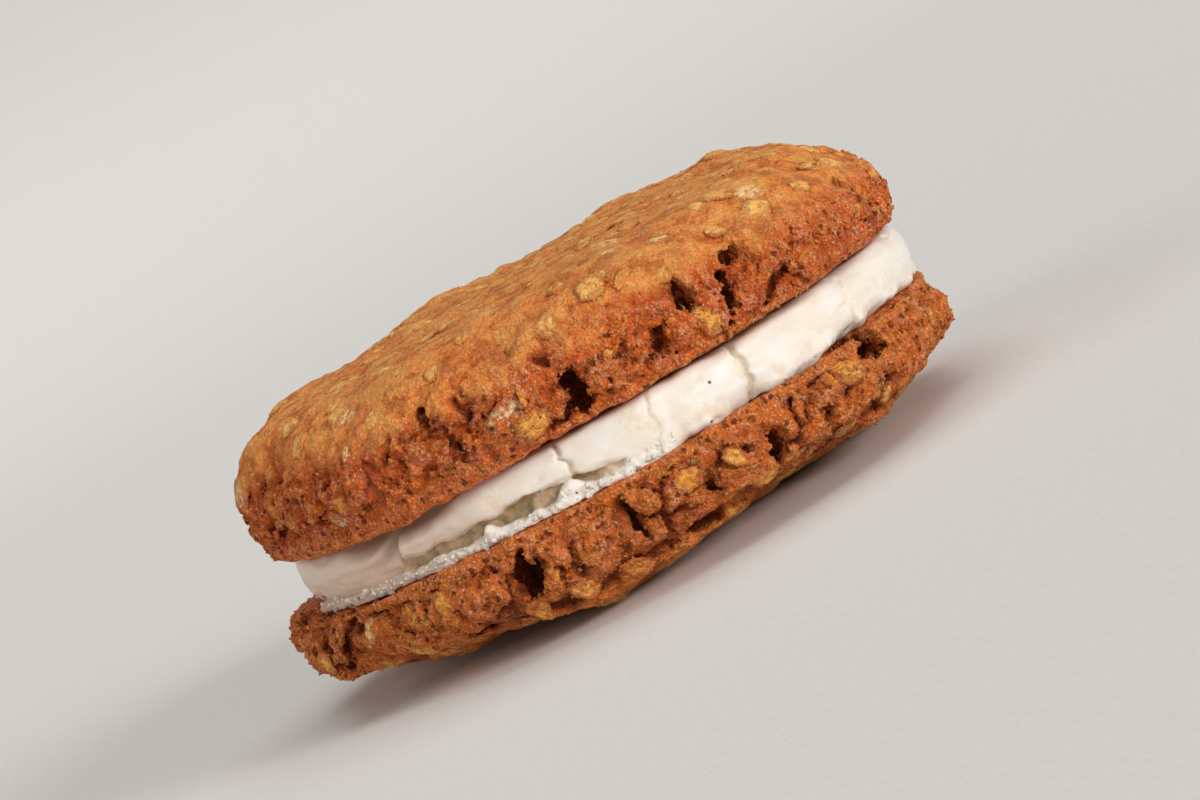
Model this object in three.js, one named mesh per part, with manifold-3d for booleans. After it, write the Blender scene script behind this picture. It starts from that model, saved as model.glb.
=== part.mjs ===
// Oatmeal cream pie: two thick soft oat cookies, flat baked faces inwards, round a disc of stiff
// buttercream. Millimetres, +Z up. The origin is under the middle of the pie's box, on its lowest
// face, and the front faces -Y. Angles are degrees from the front, growing towards +X.
import * as THREE from "three";
import { mergeVertices } from "three/addons/utils/BufferGeometryUtils.js";
import Module from "manifold-3d";

// Driving dimensions
const GAP = 0.3; // air between pieces that touch
const LOWER_THICKNESS = 13.5;
const CREAM_THICKNESS = 6.8;
const UPPER_THICKNESS = 16.4;
const CREAM_BOTTOM = LOWER_THICKNESS + GAP;
const CREAM_TOP = CREAM_BOTTOM + CREAM_THICKNESS;
const UPPER_BOTTOM = CREAM_TOP + GAP;

// Each cookie is measured with its flat face down: belt is the widest place of the rim, the lip
// rounds off the flat face, and the shoulder leads up from the belt to the slightly domed crust.
// The crust reaches the crown's height, less what is pressed flat above the cookie's thickness.
const UPPER = {
  name: "upper_cookie",
  radius: 44.9,
  centreX: 1.1,
  thickness: UPPER_THICKNESS,
  crown: UPPER_THICKNESS,
  flatHeight: UPPER_BOTTOM,
  domeDirection: 1,
  lipReach: 4,
  beltHeight: 4,
  shoulderReach: 13,
  shoulderHeight: 15,
  relief: 1.1,
  seed: 11,
  bulges: [
    { angle: -158, radius: 37, height: 15.4, out: 2.1, reach: 7 },
    { angle: 157, radius: 37, height: 15.4, out: 1.4, reach: 6 },
    { angle: 132, radius: 38, height: 14.6, out: 0.9, reach: 7 },
    { angle: -100, radius: 35, height: 14.6, out: 1.3, reach: 10 },
    { angle: -76, radius: 42, height: 11, out: 1.5, reach: 6 },
    { angle: 92, radius: 41, height: 12.5, out: -1.8, reach: 9 },
    { angle: -35, radius: 43, height: 8, out: 0.7, reach: 6 },
  ],
  cavities: [
    { angle: -2, height: 4, width: 3, tall: 6.4, deep: 3.6, lean: 4 },
    { angle: 25.6, height: 5.4, width: 2.2, tall: 6, deep: 3.4, lean: -8 },
    { angle: 19, height: 6.6, width: 1.6, tall: 4.4, deep: 3, lean: 12 },
    { angle: 29.6, height: 8, width: 3.2, tall: 2.4, deep: 3, lean: 30 },
    { angle: 12.4, height: 4, width: 1.6, tall: 4.6, deep: 2.6, lean: -20 },
    { angle: -25, height: 9, width: 1.7, tall: 4, deep: 2.8, lean: -6 },
    { angle: -21.6, height: 5.6, width: 1.1, tall: 4.4, deep: 2.6, lean: 3 },
    { angle: 62, height: 7.6, width: 2.6, tall: 2, deep: 2.6, lean: 20 },
  ],
  mainFlakes: [
    { angle: -9.1, height: 6.2, length: 3.4, width: 2.4, spin: 80, stand: 72 },
    { angle: -9.5, height: 2.9, length: 5.4, width: 3.6, spin: 8, stand: 8 },
    { angle: -20.9, height: 8.4, length: 5.6, width: 4.6, spin: 70, stand: 12 },
    { angle: -75, height: 9.6, length: 5.6, width: 4.4, spin: 60, stand: 14 },
    { angle: 66, height: 10.5, length: 4.4, width: 3.4, spin: 20, stand: 10 },
  ],
  rimFlakes: 12,
  crustFlakes: 22,
  hiddenCavities: 5,
};

const LOWER = {
  name: "lower_cookie",
  radius: 45.4,
  centreX: -1,
  thickness: LOWER_THICKNESS,
  crown: LOWER_THICKNESS + 0.5,
  flatHeight: LOWER_THICKNESS,
  domeDirection: -1,
  lipReach: 5.5,
  beltHeight: 4.4,
  shoulderReach: 17,
  shoulderHeight: 12.2,
  relief: 1.2,
  seed: 47,
  bulges: [
    { angle: -11, radius: 32, height: 12.2, out: 1.2, reach: 4 },
    { angle: 45, radius: 43, height: 8.8, out: 1.2, reach: 6 },
    { angle: 12, radius: 43, height: 10.4, out: -1.1, reach: 5 },
    { angle: 31, radius: 38, height: 11.6, out: -2.3, reach: 9 },
    { angle: -10, radius: 44, height: 7, out: 0.9, reach: 6 },
    { angle: 15, radius: 44, height: 6.6, out: 0.9, reach: 5 },
    { angle: -84, radius: 43, height: 10, out: -2.6, reach: 11 },
    { angle: -48, radius: 40, height: 11, out: -1.1, reach: 9 },
    { angle: -92, radius: 44.2, height: 0.8, out: 1.9, reach: 7 },
    { angle: 80, radius: 44, height: 1.2, out: 1.2, reach: 6 },
  ],
  cavities: [
    { angle: 48, height: 1.8, width: 5.4, tall: 4.6, deep: 4.6, lean: 25 },
    { angle: 23, height: 6, width: 2.8, tall: 5.4, deep: 3.6, lean: 6 },
    { angle: -19, height: 4.6, width: 3.4, tall: 6.6, deep: 4.4, lean: 8 },
    { angle: -1, height: 4.8, width: 1.4, tall: 7.4, deep: 3, lean: -3 },
    { angle: 11, height: 5.8, width: 1.6, tall: 5, deep: 3, lean: -6 },
    { angle: 9, height: 9.6, width: 6, tall: 1.8, deep: 2.6, lean: 8 },
    { angle: 33, height: 6, width: 1.8, tall: 3.4, deep: 2.4, lean: -25 },
  ],
  mainFlakes: [
    { angle: 10.3, height: 6.3, length: 4.2, width: 3.2, spin: 40, stand: 38 },
    { angle: 8.4, height: 3.4, length: 5, width: 3.6, spin: 10, stand: 8 },
    { angle: 15.7, height: 4, length: 4, width: 3, spin: 70, stand: 24 },
    { angle: -32.6, height: 3.2, length: 4.6, width: 4, spin: 60, stand: 8 },
    { angle: -20.5, height: 9.4, length: 4.6, width: 3.6, spin: 30, stand: 12 },
    { angle: -49.6, height: 3, length: 4.4, width: 3.2, spin: 80, stand: 10 },
    { angle: -9, height: 5.4, length: 4.6, width: 3, spin: 75, stand: 20 },
  ],
  rimFlakes: 11,
  crustFlakes: 19,
  hiddenCavities: 5,
};

const CREAM = {
  name: "cream_filling",
  radius: 41.9,
  centreX: 1,
  thickness: CREAM_THICKNESS,
  edgeRound: 1.3,
  sideBulge: 0.9,
  relief: 0.45,
  lobeDepth: 0.5,
  seed: 83,
  // The torn stretch at the lower left: its angles, and how far it stands back under the band
  tornFrom: -72,
  tornTo: 4,
  tornDepth: 1,
  tornHeight: 2.4,
  cracks: [
    { angle: -41, lean: 10, tall: 5 },
    { angle: -8.7, lean: -12, tall: 5.6 },
    { angle: 22.9, lean: 9, tall: 6.4 },
    { angle: 49, lean: 4, tall: 5.4 },
    { angle: 97, lean: -8, tall: 5 },
    { angle: 139, lean: 6, tall: 5.6 },
    { angle: -173, lean: 10, tall: 5 },
    { angle: -118, lean: -5, tall: 5.6 },
  ],
  crackWidth: 1.1,
};

const OAT = { thickness: 1.1, sides: 7, bevel: 0.78, sink: 0.18 };
const COOKIE_DETAIL = 11; // subdivisions of the ball that each cookie is shaped from
const CREAM_DETAIL = 8;
const RELIEF_CELL = 6.5; // size of one lump of dough
const FLAT_FACE_SHARE = 0.12; // how finely a hidden flat face is divided, against the rest
const GOLDEN_ANGLE = 137.508;
const FRONT = [-78, 78]; // the stretch where cavities are placed by hand
const REST_RADIUS = 24; // no flake stands proud of the face that the pie rests on
const SEAT_RADIUS = 43.8; // the faces against the cream are flat this far out
const OPEN_HEIGHT = 40; // past every surface of a piece
const DISC_SIDES = 32;

const radians = THREE.MathUtils.degToRad;
const wasm = await Module();
wasm.setup();

// A repeatable draw between 0 and 1 for each whole number.
function draw(k) {
  const wave = Math.sin(k * 12.9898 + 4.1414) * 43758.5453;
  return wave - Math.floor(wave);
}

// Smooth random relief between -1 and 1, with one value at each corner of a grid of cells.
function relief(point, cell, seed) {
  const scaled = point.clone().divideScalar(cell);
  const corner = scaled.clone().floor();
  const part = scaled.clone().sub(corner);
  const [fx, fy, fz] = part.toArray().map((t) => t * t * (3 - 2 * t));
  let sum = 0;
  for (let i = 0; i < 8; i++) {
    const [dx, dy, dz] = [i & 1, (i >> 1) & 1, (i >> 2) & 1];
    const key = (corner.x + dx) * 71 + (corner.y + dy) * 557 + (corner.z + dz) * 3371 + seed;
    const share = (dx ? fx : 1 - fx) * (dy ? fy : 1 - fy) * (dz ? fz : 1 - fz);
    sum += share * (2 * draw(key) - 1);
  }
  return sum;
}

// The place at an angle from the front, a distance from the axis and a height.
function placeAt(angle, radius, height) {
  const turn = radians(angle);
  return new THREE.Vector3(radius * Math.sin(turn), -radius * Math.cos(turn), height);
}

// A ball shaped onto a round section, which runs from the axis below to the axis above. The rows
// are spread so that the triangles are alike in size, but for the flat stretches, which get few.
// push gives how far a point moves along its normal.
function turnedSolid(section, detail, push) {
  const steps = 600;
  const places = section.getSpacedPoints(steps);
  const reached = [0];
  for (let i = 1; i <= steps; i++) {
    const flat = Math.abs(places[i].y - places[i - 1].y) < 1e-9;
    const ring = (places[i].x + places[i - 1].x) * (flat ? FLAT_FACE_SHARE : 1);
    reached.push(reached[i - 1] + ring);
  }
  const ball = new THREE.IcosahedronGeometry(1, detail);
  ball.deleteAttribute("normal");
  ball.deleteAttribute("uv");
  const geometry = mergeVertices(ball);
  const position = geometry.getAttribute("position");
  for (let i = 0; i < position.count; i++) {
    const direction = new THREE.Vector3().fromBufferAttribute(position, i).normalize();
    const target = ((1 + direction.z) / 2) * reached[steps];
    let row = reached.findIndex((sum) => sum >= target);
    row = Math.max(row, 1);
    const between = (target - reached[row - 1]) / (reached[row] - reached[row - 1]);
    const spot = places[row - 1].clone().lerp(places[row], between);
    const along = places[row].clone().sub(places[row - 1]).normalize();
    const angle = THREE.MathUtils.radToDeg(Math.atan2(direction.x, -direction.y));
    const point = placeAt(angle, spot.x, spot.y);
    const normal = placeAt(angle, along.y, -along.x);
    point.addScaledVector(normal, push(point, angle));
    position.setXYZ(i, point.x, point.y, point.z);
  }
  return geometry;
}

function solidOf(geometry) {
  const bare = geometry.clone();
  bare.deleteAttribute("normal");
  bare.deleteAttribute("uv");
  const closed = mergeVertices(bare, 1e-4);
  const vertProperties = new Float32Array(closed.attributes.position.array);
  const triVerts = new Uint32Array(closed.index.array);
  return new wasm.Manifold(new wasm.Mesh({ numProp: 3, vertProperties, triVerts }));
}

function geometryOf(solid) {
  const mesh = solid.getMesh();
  const geometry = new THREE.BufferGeometry();
  geometry.setAttribute("position", new THREE.BufferAttribute(mesh.vertProperties, 3));
  geometry.setIndex(new THREE.BufferAttribute(mesh.triVerts, 1));
  geometry.computeVertexNormals();
  return geometry;
}

// Section of a cookie, flat face down: out along the flat face, round the lip to the belt, up over
// the shoulder, and in along the crust.
function cookieSection(cookie) {
  const lipX = cookie.radius - cookie.lipReach;
  const shoulderX = cookie.radius - cookie.shoulderReach;
  const rise = cookie.shoulderHeight - cookie.beltHeight;
  const path = new THREE.Path();
  path.moveTo(0, 0);
  path.lineTo(lipX, 0);
  path.absellipse(lipX, cookie.beltHeight, cookie.lipReach, cookie.beltHeight, -Math.PI / 2, 0);
  path.absellipse(shoulderX, cookie.beltHeight, cookie.shoulderReach, rise, 0, Math.PI / 2);
  path.quadraticCurveTo(shoulderX / 2, cookie.crown, 0, cookie.crown);
  return path;
}

// The bare dough: lumpy on the rim, calmer on the crust, and quite flat on the flat face.
function cookieDough(cookie) {
  const centres = cookie.bulges.map((b) => placeAt(b.angle, b.radius, b.height));
  const push = (point, angle) => {
    const awayFromFlat = THREE.MathUtils.smoothstep(point.z, 0, 3);
    const onCrust = THREE.MathUtils.smoothstep(point.z, cookie.shoulderHeight - 3, cookie.thickness);
    const uneven = 0.5 * Math.cos(radians(2 * angle + 40)) + 0.35 * Math.cos(radians(3 * angle - 65));
    const lumps = relief(point, RELIEF_CELL, cookie.seed) * cookie.relief * (1 - 0.6 * onCrust);
    let out = (lumps + uneven * (1 - onCrust)) * awayFromFlat;
    cookie.bulges.forEach((bulge, i) => {
      const distance = point.distanceTo(centres[i]) / bulge.reach;
      out += bulge.out * Math.exp(-distance * distance) * (point.z > 0 ? 1 : 0);
    });
    return out;
  };
  return turnedSolid(cookieSection(cookie), COOKIE_DETAIL, push);
}

// Where a line from outside first meets the dough, and the way the surface faces there.
function landing(dough, from, direction) {
  const target = new THREE.Mesh(dough, new THREE.MeshStandardMaterial());
  const [hit] = new THREE.Raycaster(from, direction).intersectObject(target);
  return { point: hit.point, facing: hit.face.normal.clone() };
}

function rimLanding(dough, angle, height) {
  const from = placeAt(angle, 80, height);
  return landing(dough, from, placeAt(angle, -1, 0));
}

function crustLanding(dough, angle, radius) {
  return landing(dough, placeAt(angle, radius, 80), new THREE.Vector3(0, 0, -1));
}

// One oat flake: a thin bevelled oval, lying on the dough or standing out of it.
function oatFlake(spot, length, width, spin, stand) {
  const flake = new THREE.CylinderGeometry(OAT.bevel, 1, OAT.thickness, OAT.sides);
  flake.rotateX(Math.PI / 2);
  flake.scale(length / 2, width / 2, 1);
  flake.rotateX(radians(stand));
  flake.rotateZ(radians(spin));
  const turn = new THREE.Quaternion().setFromUnitVectors(new THREE.Vector3(0, 0, 1), spot.facing);
  flake.applyQuaternion(turn);
  const seat = spot.point.clone().addScaledVector(spot.facing, -OAT.sink);
  flake.translate(seat.x, seat.y, seat.z);
  return solidOf(flake);
}

// A hole or crack in the rim: a pointed hollow whose longest way runs into the dough.
function cavitySolid(dough, cavity) {
  const spot = rimLanding(dough, cavity.angle, cavity.height);
  const hollow = new THREE.OctahedronGeometry(1, 1);
  hollow.scale(cavity.width / 2, cavity.deep, cavity.tall / 2);
  hollow.rotateY(radians(cavity.lean));
  hollow.rotateZ(radians(cavity.angle));
  hollow.translate(spot.point.x, spot.point.y, spot.point.z);
  return solidOf(hollow);
}

// Cavities on the sides that are not seen first, spread like the ones at the front.
function hiddenCavities(cookie) {
  const [from, to] = [FRONT[1], FRONT[0] + 360];
  return Array.from({ length: cookie.hiddenCavities }, (_, i) => ({
    angle: from + ((to - from) * (i + 0.2 + 0.6 * draw(cookie.seed + i))) / cookie.hiddenCavities,
    height: 3.5 + 4.5 * draw(cookie.seed + i + 100),
    width: 1.4 + 2 * draw(cookie.seed + i + 200),
    tall: 2.4 + 3.6 * draw(cookie.seed + i + 300),
    deep: 2.4 + 1.6 * draw(cookie.seed + i + 400),
    lean: -25 + 50 * draw(cookie.seed + i + 500),
  }));
}

// Flakes spread over the rim and the crust by turning on by the golden angle.
function spreadFlakes(cookie, dough) {
  const flakes = [];
  const size = (k) => [3.8 + 1.6 * draw(k), 3 + 1 * draw(k + 50), 180 * draw(k + 100)];
  for (let i = 0; i < cookie.rimFlakes; i++) {
    const key = cookie.seed * 7 + i;
    const height = 2.6 + (cookie.shoulderHeight - 5.4) * draw(key + 150);
    const [length, width, spin] = size(key);
    const spot = rimLanding(dough, i * GOLDEN_ANGLE + 20, height);
    flakes.push(oatFlake(spot, length, width, spin, 4 + 18 * draw(key + 200)));
  }
  for (let i = 0; i < cookie.crustFlakes; i++) {
    const key = cookie.seed * 13 + i;
    const radius = (cookie.radius - 3) * Math.sqrt((i + 0.6) / cookie.crustFlakes);
    const [length, width, spin] = size(key);
    const spot = crustLanding(dough, i * GOLDEN_ANGLE, radius);
    const resting = cookie.domeDirection < 0 && radius < REST_RADIUS;
    if (!resting) flakes.push(oatFlake(spot, length, width, spin, 2 + 8 * draw(key + 200)));
  }
  return flakes;
}

function mainFlakes(cookie, dough) {
  return cookie.mainFlakes.map((flake) => {
    const spot = rimLanding(dough, flake.angle, flake.height);
    return oatFlake(spot, flake.length, flake.width, flake.spin, flake.stand);
  });
}

function makeCookie(cookie, material) {
  const dough = cookieDough(cookie);
  const flakes = [...mainFlakes(cookie, dough), ...spreadFlakes(cookie, dough)];
  const cavities = [...cookie.cavities, ...hiddenCavities(cookie)];
  let solid = solidOf(dough);
  cavities.forEach((cavity) => {
    solid = solid.subtract(cavitySolid(dough, cavity));
  });
  flakes.forEach((flake) => {
    solid = solid.add(flake);
  });
  solid = solid.subtract(levelDisc(SEAT_RADIUS, -OPEN_HEIGHT, 0));
  if (cookie.domeDirection < 0) {
    solid = solid.subtract(levelDisc(SEAT_RADIUS, cookie.thickness, OPEN_HEIGHT));
  }
  const geometry = geometryOf(largestBody(solid));
  if (cookie.domeDirection < 0) turnOver(geometry);
  const mesh = new THREE.Mesh(geometry, material);
  mesh.name = cookie.name;
  mesh.position.set(cookie.centreX, 0, cookie.flatHeight);
  return mesh;
}

// A level disc, cut away where a piece lies flat against its neighbour or on a table.
function levelDisc(radius, from, to) {
  const disc = new THREE.CylinderGeometry(radius, radius, to - from, DISC_SIDES);
  disc.rotateX(Math.PI / 2);
  disc.translate(0, 0, (from + to) / 2);
  return solidOf(disc);
}

// A cut can leave a loose scrap, which is dropped.
function largestBody(solid) {
  const bodies = solid.decompose();
  return bodies.reduce((best, body) => (body.volume() > best.volume() ? body : best));
}

// Mirrors a geometry in the level plane and keeps its faces outwards.
function turnOver(geometry) {
  geometry.scale(1, 1, -1);
  const index = geometry.getIndex();
  for (let i = 0; i < index.count; i += 3) {
    const second = index.getX(i + 1);
    index.setX(i + 1, index.getX(i + 2));
    index.setX(i + 2, second);
  }
  geometry.computeVertexNormals();
}

// Section of the cream, from the middle of its lower face to the middle of its upper face.
function creamSection(cream) {
  const inner = cream.radius - cream.edgeRound;
  const top = cream.thickness;
  const path = new THREE.Path();
  path.moveTo(0, 0);
  path.lineTo(inner, 0);
  path.quadraticCurveTo(cream.radius, 0, cream.radius, cream.edgeRound);
  path.quadraticCurveTo(cream.radius + cream.sideBulge, top / 2, cream.radius, top - cream.edgeRound);
  path.quadraticCurveTo(cream.radius, top, inner, top);
  path.lineTo(0, top);
  return path;
}

// A squeezed band of cream: softly uneven all round, lobed at its lower edge, and torn back at the
// lower left, where a second, crumbly ledge shows under the band.
function creamGeometry(cream) {
  const push = (point, angle) => {
    const onSide = point.z > 0 && point.z < cream.thickness ? 1 : 0;
    const soft = relief(point, 9, cream.seed) * cream.relief;
    const low = 1 - THREE.MathUtils.smoothstep(point.z, 0.4, 2.6);
    const lobes = (Math.sin(radians(angle * 11 + 30)) + Math.sin(radians(angle * 7))) * 0.5;
    const insideTorn =
      THREE.MathUtils.smoothstep(angle, cream.tornFrom, cream.tornFrom + 12) *
      (1 - THREE.MathUtils.smoothstep(angle, cream.tornTo - 16, cream.tornTo));
    const belowBand = 1 - THREE.MathUtils.smoothstep(point.z, cream.tornHeight - 0.5, cream.tornHeight + 0.5);
    const ragged = 1 + 0.5 * relief(point, 3, cream.seed + 9);
    return onSide * (soft + lobes * low * cream.lobeDepth - insideTorn * belowBand * cream.tornDepth * ragged);
  };
  return turnedSolid(creamSection(cream), CREAM_DETAIL, push);
}

function makeCream(cream, material) {
  let solid = solidOf(creamGeometry(cream));
  cream.cracks.forEach((crack) => {
    const groove = new THREE.BoxGeometry(cream.crackWidth, cream.crackWidth, crack.tall);
    groove.rotateZ(Math.PI / 4);
    groove.rotateY(radians(crack.lean));
    const place = placeAt(crack.angle, cream.radius + cream.sideBulge / 2, cream.thickness / 2);
    groove.rotateZ(radians(crack.angle));
    groove.translate(place.x, place.y, place.z);
    solid = solid.subtract(solidOf(groove));
  });
  solid = solid.intersect(levelDisc(SEAT_RADIUS * 2, 0, cream.thickness));
  const mesh = new THREE.Mesh(geometryOf(largestBody(solid)), material);
  mesh.name = cream.name;
  mesh.position.set(cream.centreX, 0, CREAM_BOTTOM);
  return mesh;
}

const crustFinish = new THREE.MeshStandardMaterial({ color: 0xb5743f, roughness: 0.85, metalness: 0 });
const darkCrustFinish = new THREE.MeshStandardMaterial({ color: 0xa5622f, roughness: 0.85, metalness: 0 });
const creamFinish = new THREE.MeshStandardMaterial({ color: 0xf7f1e2, roughness: 0.5, metalness: 0 });

const pie = new THREE.Group();
pie.add(makeCookie(LOWER, darkCrustFinish));
pie.add(makeCream(CREAM, creamFinish));
pie.add(makeCookie(UPPER, crustFinish));

// Stood on its lowest face, with the origin under the middle of its box
const box = new THREE.Box3().setFromObject(pie);
const middle = box.getCenter(new THREE.Vector3());
pie.position.set(-middle.x, -middle.y, -box.min.z);

export default pie;
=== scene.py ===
import math

import bpy
import numpy as np
import openvdb
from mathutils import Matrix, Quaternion, Vector


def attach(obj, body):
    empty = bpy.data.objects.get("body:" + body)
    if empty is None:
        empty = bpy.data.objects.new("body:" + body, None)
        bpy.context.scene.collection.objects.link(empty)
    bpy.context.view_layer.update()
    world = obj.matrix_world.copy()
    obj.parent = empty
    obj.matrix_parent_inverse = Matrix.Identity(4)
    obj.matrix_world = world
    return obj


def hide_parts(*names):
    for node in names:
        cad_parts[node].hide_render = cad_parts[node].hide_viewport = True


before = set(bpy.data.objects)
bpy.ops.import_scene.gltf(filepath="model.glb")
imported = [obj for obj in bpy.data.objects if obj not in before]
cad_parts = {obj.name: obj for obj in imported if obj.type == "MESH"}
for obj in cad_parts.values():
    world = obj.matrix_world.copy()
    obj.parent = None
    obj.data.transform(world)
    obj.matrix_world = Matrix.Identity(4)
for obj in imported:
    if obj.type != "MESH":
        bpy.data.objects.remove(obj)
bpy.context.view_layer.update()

# Oatmeal cream pie: two soft oat cookies round a disc of stiff buttercream. Surfaces are worked out
# in millimetres, as distances on a grid of cells, and become meshes in metres. Angles are degrees
# from the front, growing towards +X.
MM = 0.001

# Where each piece's own axis stands, as in the solids
AXIS_X = {"upper_cookie": 2.03, "lower_cookie": -0.07, "cream_filling": 1.93}
UPPER_FLAT = 20.9
LOWER_FLAT = 13.5
CREAM_LOW, CREAM_HIGH = 13.8, 20.6

COOKIE_CELL = 0.44
CREAM_CELL = 0.27
# How far flat stretches are thinned out
COOKIE_THINNING = 0.012
CREAM_THINNING = 0.004
REACH = 4.0  # distances are known this far from the surface
FACET_SIZE = 1.0  # the solids' facets are rounded off up to this size
TABLE_SIZE = 32  # noise repeats after this many cells of its own
FAR = 9  # further than any middle can be, in sizes squared


# ---------------------------------------------------------------- noise

def gradients(seed):
    rng = np.random.default_rng(seed)
    table = rng.normal(size=(TABLE_SIZE,) * 3 + (3,)).astype(np.float32)
    return table / np.linalg.norm(table, axis=-1, keepdims=True)


def cloud(points, size, seed):
    """Soft noise between about -1 and 1 at each point, with features of that size."""
    table = gradients(seed)
    places = points / np.float32(size)
    corner = np.floor(places)
    part = (places - corner).astype(np.float32)
    corner = corner.astype(np.int32)
    fade = part * part * part * (part * (part * 6 - 15) + 10)
    total = np.zeros(len(points), np.float32)
    mask = TABLE_SIZE - 1
    for step in np.ndindex(2, 2, 2):
        at = (corner + step) & mask
        slope = table[at[:, 0], at[:, 1], at[:, 2]]
        offset = part - np.array(step, np.float32)
        share = np.where(step, fade, 1 - fade).prod(axis=1)
        total += share * np.einsum("ij,ij->i", slope, offset)
    return total * 1.7


def rough_cloud(points, size, seed, layers=3, fall=0.5):
    """Several layers of soft noise, each half the size of the one before."""
    total = np.zeros(len(points), np.float32)
    strength = 1.0
    for layer in range(layers):
        total += strength * cloud(points, size / 2**layer, seed + layer)
        strength *= fall
    return total


def drift(points, size, seed, reach):
    """A soft push for each point, up to about the reach."""
    return np.stack([cloud(points, size, seed + k) for k in range(3)], axis=1) * reach


def clumps(points, size, seed):
    """Distances, in sizes, to the nearest and second nearest of scattered middles."""
    rng = np.random.default_rng(seed)
    # Four draws a cell, of which three place its middle
    table = rng.random((TABLE_SIZE,) * 3 + (4,), dtype=np.float32)
    places = points / np.float32(size)
    corner = np.floor(places)
    part = (places - corner).astype(np.float32)
    corner = corner.astype(np.int32)
    first = np.full(len(points), FAR, np.float32)
    second = np.full(len(points), FAR, np.float32)
    mask = TABLE_SIZE - 1
    for step in np.ndindex(3, 3, 3):
        step = np.array(step) - 1
        at = (corner + step) & mask
        middle = table[at[:, 0], at[:, 1], at[:, 2]]
        way = middle[:, :3] + step.astype(np.float32) - part
        gap = np.einsum("ij,ij->i", way, way)
        nearer = gap < first
        second = np.where(nearer, first, np.minimum(second, gap))
        first = np.where(nearer, gap, first)
    return np.sqrt(first), np.sqrt(second)


def smoothstep(low, high, value):
    t = np.clip((value - low) / (high - low), 0, 1)
    return t * t * (3 - 2 * t)


def draw(k):
    """The solids' repeatable draw between 0 and 1 for each whole number."""
    wave = math.sin(k * 12.9898 + 4.1414) * 43758.5453
    return wave - math.floor(wave)


# ---------------------------------------------------------------- distance grids

class Field:
    """A piece held as distances to its surface on a grid of cells, negative inside."""

    def __init__(self, node, cell):
        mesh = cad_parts[node].data
        points = np.empty(len(mesh.vertices) * 3, np.float32)
        mesh.vertices.foreach_get("co", points)
        points = points.reshape(-1, 3) / MM
        mesh.calc_loop_triangles()
        triangles = np.empty(len(mesh.loop_triangles) * 3, np.int32)
        mesh.loop_triangles.foreach_get("vertices", triangles)
        transform = openvdb.createLinearTransform(voxelSize=cell)
        grid = openvdb.FloatGrid.createLevelSetFromPolygons(
            points,
            triangles=triangles.reshape(-1, 3).astype(np.uint32),
            transform=transform,
            halfWidth=REACH / cell,
        )
        low, high = grid.evalActiveVoxelBoundingBox()
        self.low = np.array(low) - 2
        self.cell = cell
        self.values = np.empty(np.array(high) - self.low + 3, np.float32)
        grid.copyToArray(self.values, ijk=tuple(int(i) for i in self.low))

    def copy(self):
        twin = Field.__new__(Field)
        twin.low, twin.cell, twin.values = self.low, self.cell, self.values.copy()
        return twin

    def soften(self, radius):
        """Rounds off everything finer than the radius."""
        count = max(1, int(round(2 * radius / self.cell)))
        taps = np.arange(-count, count + 1) * self.cell
        weights = np.exp(-0.5 * (taps / (radius / 1.5)) ** 2)
        weights /= weights.sum()
        for axis in range(3):
            padding = [(0, 0)] * 3
            padding[axis] = (count, count)
            padded = np.pad(self.values, padding, mode="edge")
            size = self.values.shape[axis]
            total = np.zeros_like(self.values)
            for i, weight in enumerate(weights):
                window = [slice(None)] * 3
                window[axis] = slice(i, i + size)
                total += np.float32(weight) * padded[tuple(window)]
            self.values = total

    def near(self, reach):
        """The cells near the surface: their places in the grid, and their points in millimetres."""
        spots = np.nonzero(np.abs(self.values) < reach)
        points = (np.stack(spots, axis=1) + self.low).astype(np.float32) * self.cell
        return spots, points

    def sample(self, points):
        """The distance at any points, by straight blending between cells."""
        places = points / self.cell - self.low
        corner = np.clip(np.floor(places).astype(np.int32), 0, np.array(self.values.shape) - 2)
        part = (places - corner).astype(np.float32)
        total = np.zeros(len(points), np.float32)
        for step in np.ndindex(2, 2, 2):
            share = np.where(step, part, 1 - part).prod(axis=1)
            at = corner + step
            total += share * self.values[at[:, 0], at[:, 1], at[:, 2]]
        return total

    def slope(self, points, reach=0.8):
        """The way out of the surface at any points."""
        way = np.empty((len(points), 3), np.float32)
        for axis in range(3):
            step = np.zeros(3, np.float32)
            step[axis] = reach
            way[:, axis] = self.sample(points + step) - self.sample(points - step)
        return way / np.maximum(np.linalg.norm(way, axis=1, keepdims=True), 1e-6)

    def local(self, centre, radius):
        """The cells in a box round a point: the slices of the grid, and their points."""
        low = np.maximum(np.floor((centre - radius) / self.cell).astype(int) - self.low, 0)
        high = np.ceil((centre + radius) / self.cell).astype(int) - self.low + 1
        high = np.minimum(high, self.values.shape)
        window = tuple(slice(a, b) for a, b in zip(low, high))
        axes = [(np.arange(a, b) + base) * self.cell for a, b, base in zip(low, high, self.low)]
        return window, np.stack(np.meshgrid(*axes, indexing="ij"), axis=-1).astype(np.float32)

    def surface(self, adaptivity):
        """Points and faces of the surface, with fewer faces where it is flat."""
        grid = openvdb.FloatGrid(REACH)
        grid.transform = openvdb.createLinearTransform(voxelSize=self.cell)
        grid.copyFromArray(self.values, ijk=tuple(int(i) for i in self.low))
        grid.gridClass = openvdb.GridClass.LEVEL_SET
        return grid.convertToPolygons(isovalue=0.0, adaptivity=adaptivity)


def turned(points, axis_x):
    """Angle from the front in degrees, and distance from the axis."""
    x = points[..., 0] - axis_x
    y = points[..., 1]
    return np.degrees(np.arctan2(x, -y)), np.hypot(x, y)


def place_at(axis_x, angle, radius, height):
    turn = math.radians(angle)
    return np.array((axis_x + radius * math.sin(turn), -radius * math.cos(turn), height), np.float32)


def first_inside(field, probe):
    """The first of a line of points that lies inside, or None."""
    inside = np.nonzero(field.sample(probe) < 0)[0]
    return probe[inside[0]] if len(inside) else None


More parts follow.
